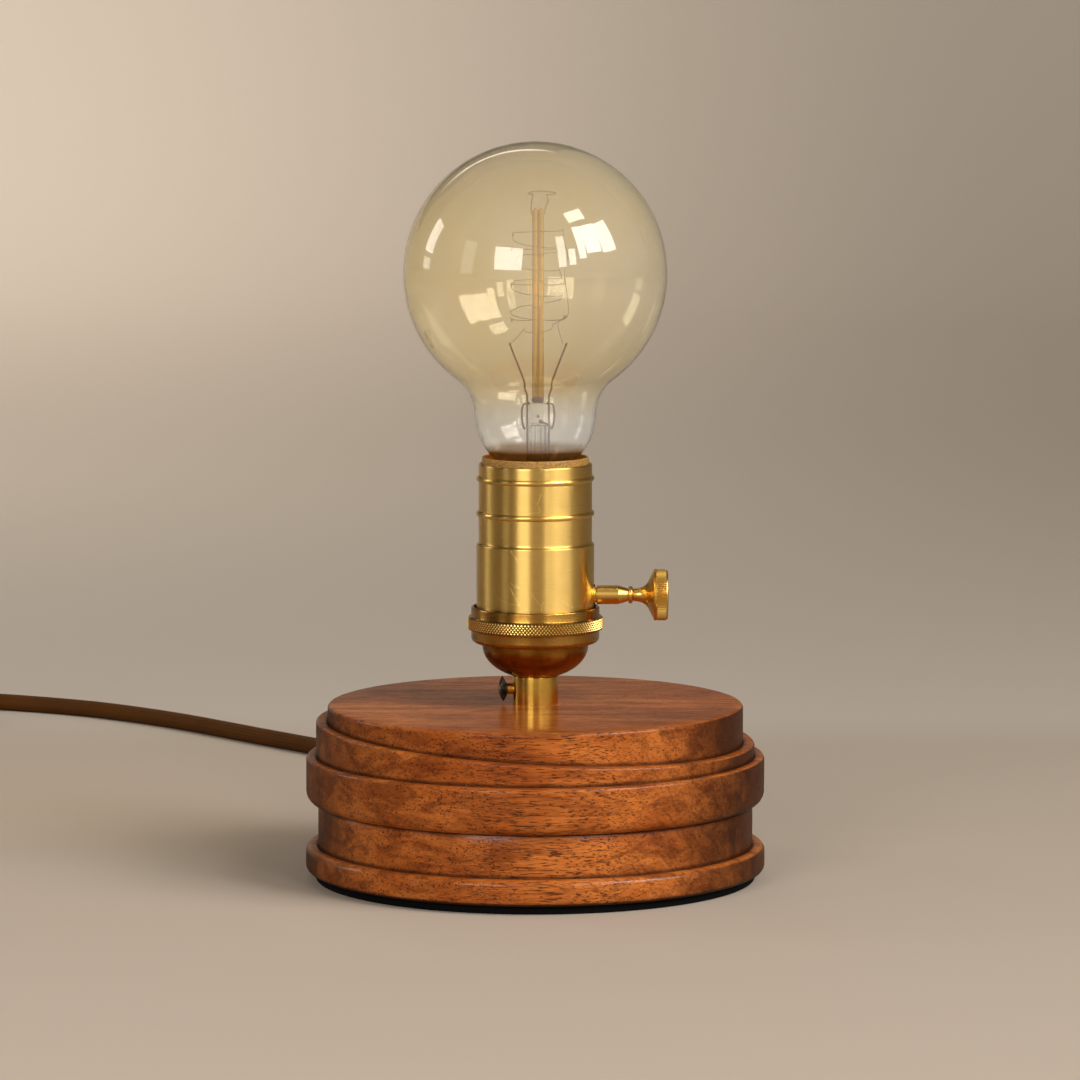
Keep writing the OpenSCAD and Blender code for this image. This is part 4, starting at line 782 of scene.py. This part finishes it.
def threadShape(point, angle):
    r, h, *cut = point
    return (r + thread.depth * cos(angle - tau * h / thread.pitch) if cut else r), h


def threadLine(radius, low, high):
    count = round((high - low) / thread.pitch * thread.steps)
    return [(radius, low + (high - low) * i / count, 1) for i in range(count + 1)]


bulb = Sizes(tip=120.176, zCap=126.176, capTop=149.176, capR=13.3, footR=11.6, capBore=11.75, throat=9,
             globeZ=219.676, globeR=47.5, joinSine=0.808, wall=0.7, neckR=21.9, neckZ=168.176,
             glassFootR=13.2, skirtR=11.35, skirtZ=138.176, contactR=4.6, film=(163, 186),
             fused=(158.2, 155.4))
b = bulb
turned("bulb_cap", [(b.throat, b.zCap), (b.footR, b.zCap)]
       + threadLine(thread.radius, b.zCap + 0.7, b.capTop - 2.4)
       + [(b.capR, b.capTop - 2.2), (b.capR, b.capTop - 0.2), (b.capR - 0.2, b.capTop),
          (b.capBore, b.capTop), (b.capBore, b.zCap + 1), (b.throat, b.zCap + 1)],
       "threadBrass", thread.segments, "bulb", "thread_brass", "bulb_cap", shape=threadShape)

screw = Sizes(low=119.176, top=146.176, wall=14.05, hole=8, sheet=0.6)
turned("screw_shell", [(screw.hole, screw.low), (screw.wall - screw.sheet, screw.low),
                       (screw.wall, screw.low + screw.sheet), (screw.wall, screw.top)]
       + threadLine(thread.radius + thread.gap, screw.low + screw.sheet, screw.top)[::-1]
       + [(screw.hole, screw.low + screw.sheet)],
       "threadBrass", thread.segments, "root", "thread_brass", "screw_shell", shape=threadShape)
turned("cap_insulator", [(1.2, b.tip + 2.05), (5.2, b.tip + 2.05), (5.9, b.tip + 2.5)]
       + bezier((6.3, b.tip + 3.0), (7.4, b.tip + 4.6), (9.4, b.tip + 5.0), (11.2, b.zCap - 0.4), 8)
       + [(11.2, b.zCap - 0.02), (8.95, b.zCap - 0.02), (8.95, b.zCap + 1), (1.2, b.zCap + 1)],
       "glassInsulator", 96, "bulb", "black_glass_insulator", "bulb_insulator")
turned("solder_contact", [(0, b.tip)]
       + bezier((1.2, b.tip + 0.02), (3.0, b.tip + 0.1), (4.4, b.tip + 0.8), (b.contactR, b.tip + 1.9), 8)
       + [(b.contactR, b.tip + 2), (0, b.tip + 2)],
       "solder", 64, "bulb_foot", "solder", "bulb_contact")


# Glass: the globe's wall, with an amber film that ends at the neck

def amberTint(p, tint):
    z = p.parts()[2]
    patchy = p.noise(0.02, detail=2).smooth(0.3, 0.7) * 0.35 + 0.65
    glass = p.mix(z.smooth(*b.film) * patchy, (0.99, 0.99, 0.985), tint)
    return p.mix(z.smooth(*b.fused), glass, (0.44, 0.27, 0.09))  # the foot tinted brown inside its collar: painted shade and brass reflection


def glassLine(inset):
    r, low = b.globeR - inset, -asin(b.joinSine)
    join = Vector((r * cos(low), b.globeZ + r * sin(low)))
    neck = Vector((b.neckR - inset, b.neckZ))
    foot = Vector((b.glassFootR - inset, b.capTop + 1.5))
    line = (arc(0, b.globeZ, r, 90, degrees(low), 120)
            + bezier(join, join + Vector((-4.44, -3.24)), neck + Vector((0.3, 5)), neck, 20)[1:]
            + bezier(neck, neck + Vector((-0.8, -7.5)), foot + Vector((6.3, 6.5)), foot, 24)[1:])
    skirt = b.skirtR - inset
    return [(max(x, 0), z) for x, z in line] + [(skirt, b.capTop - 0.4), (skirt, b.skirtZ)]


glassPaint("amberGlass", (0.985, 0.915, 0.735), amberTint, veil=0.085, smoke=5)
turned("globe", glassLine(0) + glassLine(b.wall)[::-1], "amberGlass", 224, "bulb", "amber_glass",
       "glass_envelope", sharp=60)

# Stem, press and rod in the middle of the bulb
mount = Sizes(x=1.0, stemR=3.45, wall=1.1, zFlare=138.2, zStem=151, pressZ=165.2, pressTop=173.2,
              rodZ=173.25, rodTop=243.176, rodR=1.04, rodAt=1.05, melt=(176.4, 175.2), flareR=9.4,
              leadX=3.9, leadR=0.36, sides=48,
              # the press in levels: height, half width, half depth, and how square it is
              press=((165.25, 2.6, 1.3, 0.5), (165.5, 3.2, 1.55, 0.45), (166.2, 3.42, 1.6, 0.42),
                     (169, 3.4, 1.55, 0.4), (171.6, 3.42, 1.6, 0.4), (172.6, 3.25, 1.55, 0.45),
                     (173.1, 2.7, 1.3, 0.6), (173.2, 1.6, 0.8, 0.8)))
mid = Matrix.Translation((mount.x, 0, 0))


def stemOutline():
    r, flare, z = mount.stemR, mount.flareR, mount.zStem
    inner, top = r - mount.wall, mount.pressZ - 0.6
    return ([(flare - 1, mount.zFlare), (flare, mount.zFlare), (flare, mount.zFlare + 1)]
            + bezier((flare - 0.3, 140), (5.5, 144), (r, 147), (r, z)) + [(r, top)]
            + arc(r - 0.5, top + 0.05, 0.5, 0, 90, 5) + [(inner, top + 0.5), (inner, z)]
            + bezier((inner, z - 1), (inner, 147), (4.6, 143.4), (flare - 1.3, 139.4), 8))


turned("glass_stem", stemOutline(), "clearGlass", 96, "bulb", "clear_glass", "glass_stem", place=mid)


def glassPress():
    # the pinched end of the stem: a rounded flat block that narrows to the rod
    bm, rings = bmesh.new(), []
    for z, wide, deep, power in mount.press:
        way = [(cos(tau * k / mount.sides), sin(tau * k / mount.sides)) for k in range(mount.sides)]
        rings.append([bm.verts.new((wide * copysign(abs(c) ** power, c),
                                    deep * copysign(abs(s) ** power, s), z)) for c, s in way])
    skin(bm, rings)
    return solid("glass_press", bm, "clearGlass", mid, 50)


wear(glassPress(), "bulb", "clear_glass", "glass_press")
tube = Sizes(bore=0.9, radius=1.6, tip=1.3, z=132.2, top=165)
turned("exhaust_tube", [(tube.bore, tube.z), (tube.radius, tube.z), (tube.radius, tube.top - 0.4),
                        (tube.tip, tube.top), (tube.bore, tube.top)],
       "clearGlass", 48, "bulb", "clear_glass", "exhaust_tube", place=mid)


def rodTint(p, tint):  # nearly brown where the rod melts into the press
    x, _, z = p.parts()
    # painted shade: each rod's glass is tinted darker towards its left and right edges
    edge = abs(abs(x - mount.x) - mount.rodAt).smooth(0.5, 0.95)
    glass = p.mix(edge * 0.75, tint, (0.5, 0.25, 0.025))
    return p.mix(z.smooth(*mount.melt), glass, (0.3, 0.13, 0.02))


def glassRod():  # two rods side by side, melted together at the foot
    bm = bmesh.new()
    for side in (-1, 1):
        turnInto(bm, [(0, mount.rodZ), (mount.rodR * 0.8, mount.rodZ), (mount.rodR, mount.rodZ + 0.25)]
                 + corner(mount.rodR, mount.rodTop, mount.rodR), 32, centre=side * mount.rodAt)
    melt = Matrix.Translation((-0.6, -0.9, 174.4)) @ Matrix.Diagonal((1.9, 1.5, 1.2, 1))
    bmesh.ops.create_uvsphere(bm, u_segments=32, v_segments=20, radius=1, matrix=melt)
    return solid("glass_rod", bm, "amberRodGlass", mid, 60)


glassPaint("amberRodGlass", (0.92, 0.62, 0.13), rodTint)
wear(glassRod(), "bulb", "amber_rod_glass", "glass_rod")


# Wires: paths are lists of points and beads are (point, radius), both counted from the rod's middle

def wires(name, paths, radius, paint, sides, step, beads):
    bm = bmesh.new()
    for path in paths:
        line = [bm.verts.new((x + mount.x, y, z)) for x, y, z in throughPoints(path, step)]
        for a, b in zip(line, line[1:]):
            bm.edges.new((a, b))
    piece = applyTree(solid(name, bm, paint), sweep, paint, {"Radius": radius * mm, "Sides": sides})
    bm = bmesh.new()
    bm.from_mesh(piece.data)
    for (x, y, z), size in beads:
        bmesh.ops.create_icosphere(bm, subdivisions=2, radius=size * mm,
                                   matrix=Matrix.Translation(Vector((x + mount.x, y, z)) * mm))
    for face in bm.faces:
        face.smooth = True
    bm.to_mesh(piece.data)
    bm.free()
    return piece


cage = Sizes(wire=0.12, low=199.2, pitch=8.525, hooks=(0.5, 2, 3.5), hookR=0.14, bead=0.36,
             leadX=10.2, leadZ=194.2, hookAt=9.3, perStrand=14,
             # a strand's start and end across, its heights there, its depth (- in front) and its sag
             strands=((-4.9, 5.5, 199.7, 201.3, -6.5, 1.6), (10.4, -9.9, 204.4, 206.1, -8.6, 1.6),
                      (-6.4, 8.6, 207.8, 211.2, 7.5, 1.2), (8.8, -9.6, 212.2, 215.2, -8.4, 1.4),
                      (-8.4, 8.6, 217.1, 217.9, 7.8, 0.4), (7.6, -8.2, 221.3, 223.2, -8.2, 0.9),
                      (-7.2, 8.4, 226.0, 227.6, 8, 0.5), (8.4, -9.1, 229.6, 232.8, -8.3, 1.4),
                      (-9.0, 9.0, 234.5, 235.2, 5, 0.4)))


def strandPoints(start, end, low, high, depth, sag):
    # one strand across the cage, round the front or the back of the rod, hanging a little
    line = []
    for i in range(cage.perStrand + 1):
        s = i / cage.perStrand
        line.append(((start + end) / 2 + (start - end) / 2 * cos(pi * s), depth * sin(pi * s) ** 0.8,
                     low + (high - low) * s - sag * sin(pi * s) ** 0.6))
    return line


def filamentPath():
    line = [(-cage.leadX, 0, cage.leadZ), (-7.6, -0.6, cage.leadZ + 2.4)]
    for strand in cage.strands:
        line += strandPoints(*strand)
    return line + [(9.4, -0.4, 231), (10.7, 0.8, 226.4), (9.6, 1.4, 220), (10.4, 1.0, 212),
                   (10.8, 0.6, 205), (7.2, 0.6, 201.4), (cage.leadX - 1.2, 0, cage.leadZ)]


wear(wires("filament", [filamentPath()], cage.wire, "filamentWire", 6, 0.8, [
    ((-7.6, -0.6, cage.leadZ + 2.4), 0.24), ((9.0, 0, 235.4), 0.3), ((-9.0, 0, 233.6), 0.34),
    ((5.5, 0, 201.4), 0.24)]), "bulb", "filament_wire", "filament")

hookPaths, hookBeads = [], []
for turn in cage.hooks:
    for side in (0, 180):
        z = cage.low + cage.pitch * turn
        way = cos(radians(180 + 360 * turn + side))
        tip = way * cage.hookAt
        end = (tip + way * 0.2, -0.6, z + (1.04 if way > 0 else -0.8))
        hookPaths.append([(way * 2.0, 0, z - 0.6), (way * 5.5, 0.25, z - 0.75), (tip, 0, z - 0.35),
                          (tip + way * 0.5, -0.3, z + 0.3), end])
        hookBeads += [(end, cage.bead), ((tip - way * 0.1, 0, z - 0.3), cage.bead * 0.7)]
wear(wires("rod_hooks", hookPaths, cage.hookR, "supportWire", 6, 0.5, hookBeads), "bulb",
     "support_wire", "rod_hooks")

topRing = Sizes(x=1.3, radius=4.9, z=248.576, wire=0.2, tilt=0.09, start=232, step=12, count=26)
topPath = [(-2.4, 0, 240.9), (-2.5, 0, 243.4), (-2.2, -1.2, 246.2)]
for a in (radians(topRing.start - topRing.step * i) for i in range(topRing.count)):
    y = topRing.radius * sin(a)
    topPath.append((topRing.x + topRing.radius * cos(a), y, topRing.z + topRing.tilt * y))
topPath += [(3.6, 1.0, 245.6), (2.6, 0.2, 243.2), (2.4, 0, 240.9)]
wear(wires("top_support", [topPath], topRing.wire, "supportWire", 6, 0.5,
           [((6.1, -0.8, topRing.z), 0.42)]), "bulb", "support_wire", "top_support")


def leadWire(name, side, foot):
    # up the stem, kinked at the press and out to the cage, with the loops beside and in the press
    x, z = side * mount.leadX, mount.pressTop
    end = (side * cage.leadX, 0, cage.leadZ)
    kink = [Vector(p) for p in ((x, 0, z + 2.9), (side * 5.3, 0, 181.6), end)]
    path = foot + [(x, 0, 136), (x, 0, 150), (x, 0, 163), (x, 0, z + 1.6)]
    for a, b in zip(kink, kink[1:]):
        path += [tuple(a + (b - a) * t) for t in (0.08, 0.3, 0.6, 0.92)]
    paths = [path + [end], [
        (x - side * 0.2, -0.4, z - 0.4), (x + side * 1.3, -0.7, z - 0.6), (x + side * 2.0, -0.5, z - 3.6),
        (x + side * 1.6, -0.2, z - 8.2), (x + side * 0.9, 0.3, z - 9.6)]]
    beads = [((x - side * 0.3, -0.3, z - 0.2), 0.75), ((x + side * 0.9, 0.1, z - 9.6), 0.4), (end, 0.46)]
    if side > 0:  # a small loop and drops, fused into the press
        paths.append([(x - 2.9, -1.7, z - 6.9), (x - 0.8, -1.9, z - 7.6), (x + 0.9, -1.0, z - 9.2)])
        beads += [((x - 2.9, -1.7, z - 6.9), 0.85), ((x - 3.9, -1.6, z - 5.0), 0.6)]
    return wires(name, paths, mount.leadR, "leadWire", 10, 0.8, beads)


wear(leadWire("lead_neutral", -1, [(-12.2, 0, 128.3), (-11.6, 0, 129.6), (-3.9, 0, 131.4)]), "bulb",
     "lead_wire", "lead_wire_neutral")
wear(leadWire("lead_hot", 1, [(-1, 0, 122.4), (-0.9, 0, 128.6), (3.9, 0, 131.4)]), "bulb",
     "lead_wire", "lead_wire_hot")
print("bulb built")


# Strain relief, coil ties and plug: outlines along the cord

relief = Sizes(barrel=5, flange=6.4, y0=64.9, y1=79, mouthY=102.9, mouthR=4.1, bore=3.55, ribs=6,
               ribR=5.7, taper=1.5, groove=0.9, z=19.5)


def reliefOutline():
    r = relief
    line = [(r.bore, r.y0), (r.barrel, r.y0), (r.barrel, r.y1), (r.flange - 0.3, r.y1),
            (r.flange, r.y1 + 0.4), (r.flange, r.y1 + 1.5), (r.flange - 0.4, r.y1 + 1.9)]
    start, end = r.y1 + 2.4, r.mouthY - 0.6
    wide = (end - start) / r.ribs
    for i in range(r.ribs):
        y, big = start + (end - start) * i / r.ribs, r.ribR - r.taper * i / r.ribs
        line += [(big - r.groove, y), (big - 0.15, y + 0.35), (big, y + 0.7),
                 (big - 0.12, y + wide * 0.62), (big - r.groove, y + wide * 0.75)]
    return line + [(r.mouthR, end), (r.mouthR - 0.2, r.mouthY), (r.bore, r.mouthY)]


reliefPiece = turned("strain_relief", reliefOutline(), "blackRubber", 64, "root", "black_rubber",
                     "strain_relief", place=onY(0, 0, relief.z))

tie = Sizes(thick=0.8, width=9, slack=0.3, corner=1.6, edge=0.25, turns=(0.75, 0.375))


def tieBand(bm, start):
    # a strap round all the turns at one place of the coil
    radii = [coilRadius(start + i) for i in range(int(cord.turns - start + 1e-6) + 1)]
    reach, half = cord.width / 2 + tie.slack, tie.width / 2
    turn = (Matrix.Translation((coilX, coilY, 0)) @ Matrix.Rotation(radians(90 + 360 * start), 4, "Z"))
    lines = []
    for inset in (0, tie.thick):
        c, out = tie.corner - inset, reach + tie.thick - inset
        x0, x1, z0, z1 = min(radii) - out, max(radii) + out, inset, plugZ + out
        lines.append(arc(x1 - c, z0 + c, c, -90, 0, 5) + arc(x1 - c, z1 - c, c, 0, 90, 5)
                     + arc(x0 + c, z1 - c, c, 90, 180, 5) + arc(x0 + c, z0 + c, c, 180, 270, 5))
    loops = [[bm.verts.new(turn @ Vector((x, y, z))) for x, z in line]
             for line, y in ((lines[0], tie.edge - half), (lines[0], half - tie.edge),
                             (lines[1], half), (lines[1], -half))]
    skin(bm, loops + loops[:1], ends=False)


bm = bmesh.new()
for start in tie.turns:
    tieBand(bm, start)
tiePiece = wear(solid("coil_ties", bm, "blackRubber"), "root", "black_rubber", "cord_ties")

plug = Sizes(sleeveLen=22, sleeveR=6.2, ribs=5, ribR=4.5, ribGap=3.8, bodyLen=23, radius=11.8, gripR=10.8,
             rimR=11.2)


def sleeveOutline():
    r = cord.width / 2
    line = [(0, 0), (r + 0.6, 0), (r + 0.9, 0.4)]
    for i in range(plug.ribs):
        h, r = 2.2 + plug.ribGap * i, plug.ribR + 0.35 * i
        line += [(r, h), (r + 0.15, h + 0.3), (r + 0.15, h + 2.0), (r, h + 2.3), (r - 0.7, h + 2.6),
                 (r - 0.7, h + 3.4)]
    end = plug.sleeveLen
    return line + [(plug.sleeveR, end - 0.4), (plug.sleeveR, end), (0, end)]


sleevePiece = turned("plug_sleeve", sleeveOutline(), "blackRubber", 64, "root", "black_rubber",
                     "plug_sleeve", place=onY(plugX, sleeveY, plugZ, 90))
bodyOutline = ([(0, 0), (6.4, 0)] + bezier((6.7, 0.3), (7.1, 7), (11, 6), (plug.radius, 14), 14)
               + [(plug.radius, 15), (plug.rimR, 15.3), (plug.gripR, 15.8), (plug.gripR, 17.2),
                  (plug.rimR, 17.7), (plug.radius, 18), (plug.radius, plug.bodyLen - 0.4),
                  (plug.radius - 0.3, plug.bodyLen), (0, plug.bodyLen)])
bodyPiece = turned("plug_body", bodyOutline, "blackPlastic", 96, "root", "black_plastic", "plug_body",
                   place=onY(plugX, sleeveY - plug.sleeveLen, plugZ, 90))
print("plug and ties made")


# Solids that keep their own mesh take a finish here

kept = dict(
    zincSteel=("nipple", "nipple_washer", "nipple_nut", "clamp_screws", "switch_stem"),
    blackPlastic=("nipple_bushing", "plug_cover"), creamNylon=("cord_clamp",),
    blackInsulation=("wire_hot",), whiteInsulation=("wire_neutral",), pressedFibre=("cap_disc",),
    brownPhenolic=("switch_housing", "switch_rotor"), nickel=("terminal_screw_neutral", "plug_screws"),
    threadBrass=("rotor_bearing", "shell_rivets", "centre_contact", "contact_leaf", "terminal_screw_hot"),
    capCement=("bulb_cement",), bladeBrass=("plug_blades",), innerCordSilk=("cord_inner",))
for paint, nodes in kept.items():
    for node in nodes:
        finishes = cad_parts[node].data.materials
        finishes.clear()
        finishes.append(paints[paint])

[tuple(v * mm for v in p) for p in cordRoute]


# Floor, backdrop and light: places and sizes in metres

def stagePaint(name):
    p = Paint(name)
    x, y, _ = p.parts()
    cloud = p.noise(0.004) * 0.5 + p.noise(0.03) * 0.12
    near = p.mix(cloud, (0.55, 0.46, 0.375), (0.605, 0.51, 0.425))
    colour = p.mix(y.smooth(300, 420), near, (0.63, 0.555, 0.475))
    # painted light: floor and backdrop are brighter towards the left, most on the backdrop
    left, middle = x.smooth(460, -620), y.smooth(500, 1500) * y.smooth(4200, 2900)
    lift = left * (middle * 0.6 + 0.28) + 0.88
    grey = p.add("CombineXYZ", {"X": lift, "Y": lift, "Z": lift})
    colour = p.mix(1.0, colour, grey, "MULTIPLY")
    # painted shade in reflections: glossy rays see the floor darker
    gloss = p.add("LightPath", out="Is Glossy Ray")  # metal sees a calmer floor
    colour = p.mix(gloss * 0.5, colour, (0.12, 0.1, 0.08))
    p.finish({"Base Color": colour, "Roughness": 0.75, "Specular IOR Level": 0.2})


def sheet(name, points, paint):  # faces given by their corners, left facing as they are
    bm = bmesh.new()
    rows = [[bm.verts.new(v) for v in pair] for pair in points]
    for low, high in zip(rows, rows[1:]):
        bm.faces.new((low[0], low[1], high[1], high[0]))
    piece = solid(name, bm, paint, Matrix.Scale(1 / mm, 4), 80, False)
    return piece


drape = Sizes(width=14, front=-6, back=4.2, bend=1.6, height=7, steps=24)
stagePaint("paleFloor")
drapeLine = [(drape.front, 0), (0, 0), (drape.back - drape.bend, 0)]
drapeLine += [(drape.back - drape.bend + drape.bend * sin(a), drape.bend * (1 - cos(a)))
              for a in (radians(90 * i / drape.steps) for i in range(1, drape.steps + 1))]
sheet("floor", [[(side * drape.width / 2, y, z) for side in (-1, 1)]
                for y, z in drapeLine + [(drape.back, drape.height)]], "paleFloor")

# dark cards behind, past the picture's edges: they draw the dark rim of the glass
cardY = 4.1
cards = dict(left=(-3.2, -0.66, 0.1, 3.4), top=(-0.66, 0.62, 0.64, 3.4), right=(1.5, 2.1, -0.2, 0.9))
for name, (x0, x1, z0, z1) in cards.items():
    plainPaint(name + "CardCloth", (0.03, 0.028, 0.026), 0.9)
    piece = sheet(name + "Card", [[(x, cardY, z) for x in (x0, x1)] for z in (z0, z1)],
                  name + "CardCloth")
    for kind in ("camera", "diffuse", "shadow", "volume_scatter"):
        setattr(piece, "visible_" + kind, False)

lamps = dict(  # degrees: azimuth, elevation, width, height; strength
    front=(-24, 16, 24, 19, 6.8), side=(-110, 18, 12, 17, 3.7), sideLow=(-110, 4, 10, 6, 2.0),
    wide=(-62, 14, 12, 24, 1.0), paneA=(71.5, 28, 14, 22, 8.6), paneB=(55.5, 29.5, 14, 22, 10.0),
    paneC=(43.5, 28, 6.5, 26, 9.5), paneD=(33.5, 17, 6, 13, 7.0), paneE=(24, 22, 7, 26, 6.0),
    paneF=(50, 50, 15, 9, 8.0), wash=(-35, 55, 70, 30, 2.4))
lampReach, aimAndColour = 1.9, ((0, 0, 0.22), (1, 0.985, 0.955))
washed = dict(wash=((-0.3, 3.9, 0.6), (1, 0.96, 0.91)))  # wash lifts the backdrop
for name, (azimuth, elevation, wide, high, strength) in lamps.items():
    a, e = radians(azimuth), radians(elevation)
    towards = Vector((sin(a) * cos(e), -cos(a) * cos(e), sin(e)))
    data = bpy.data.lights.new(name + "_light", "AREA")
    data.shape = "RECTANGLE"
    data.size, data.size_y = (2 * lampReach * tan(radians(v / 2)) for v in (wide, high))
    data.energy = strength * pi * data.size * data.size_y
    aim, data.color = washed.get(name, aimAndColour)
    lamp = bpy.data.objects.new(name + "_light", data)
    lamp.location = Vector(aim) + towards * lampReach
    lamp.rotation_euler = towards.to_track_quat("Z", "Y").to_euler()
    lamp.visible_camera = False
    bpy.context.collection.objects.link(lamp)

world = bpy.data.worlds.new("around")
bpy.context.scene.world = world
world.use_nodes = True
around = Nodes(world.node_tree)
around.tree.nodes.clear()
dx = around.add("SeparateXYZ", {0: around.add("TexCoord", out="Generated")}, "X")
# light from all round: degrees from the camera's side, + towards the knob, with the brightness there
round360 = ((-180, 0.25), (-112, 0.2), (-94, 0.12), (-84, 0.04), (-50, 0.04), (-40, 0.3), (0, 0.46),
            (32, 0.36), (82, 0.36), (100, 0.16), (130, 0.1), (180, 0.2))
level = around.add("ValToRGB", {0: dx.op("ARCTAN2", -dx.out("Y")) / tau + 0.5})
stops = level.socket.node.color_ramp.elements
while len(stops) < len(round360):
    stops.new(1)
for stop, (angle, v) in zip(stops, round360):
    stop.position, stop.color = (angle + 180) / 360, (v, v * 0.88, v * 0.72, 1)
glow = around.add("Background", {"Color": level, "Strength": 1 - dx.out("Z").smooth(0.45, 0.9) * 0.6})
around.add("OutputWorld", {"Surface": glow})

scene = bpy.context.scene
scene.view_settings.view_transform = "Standard"
for kind in ("transparent_max", "transmission", "max"):
    setattr(scene.cycles, kind + "_bounces", 24)
print("stage lit")
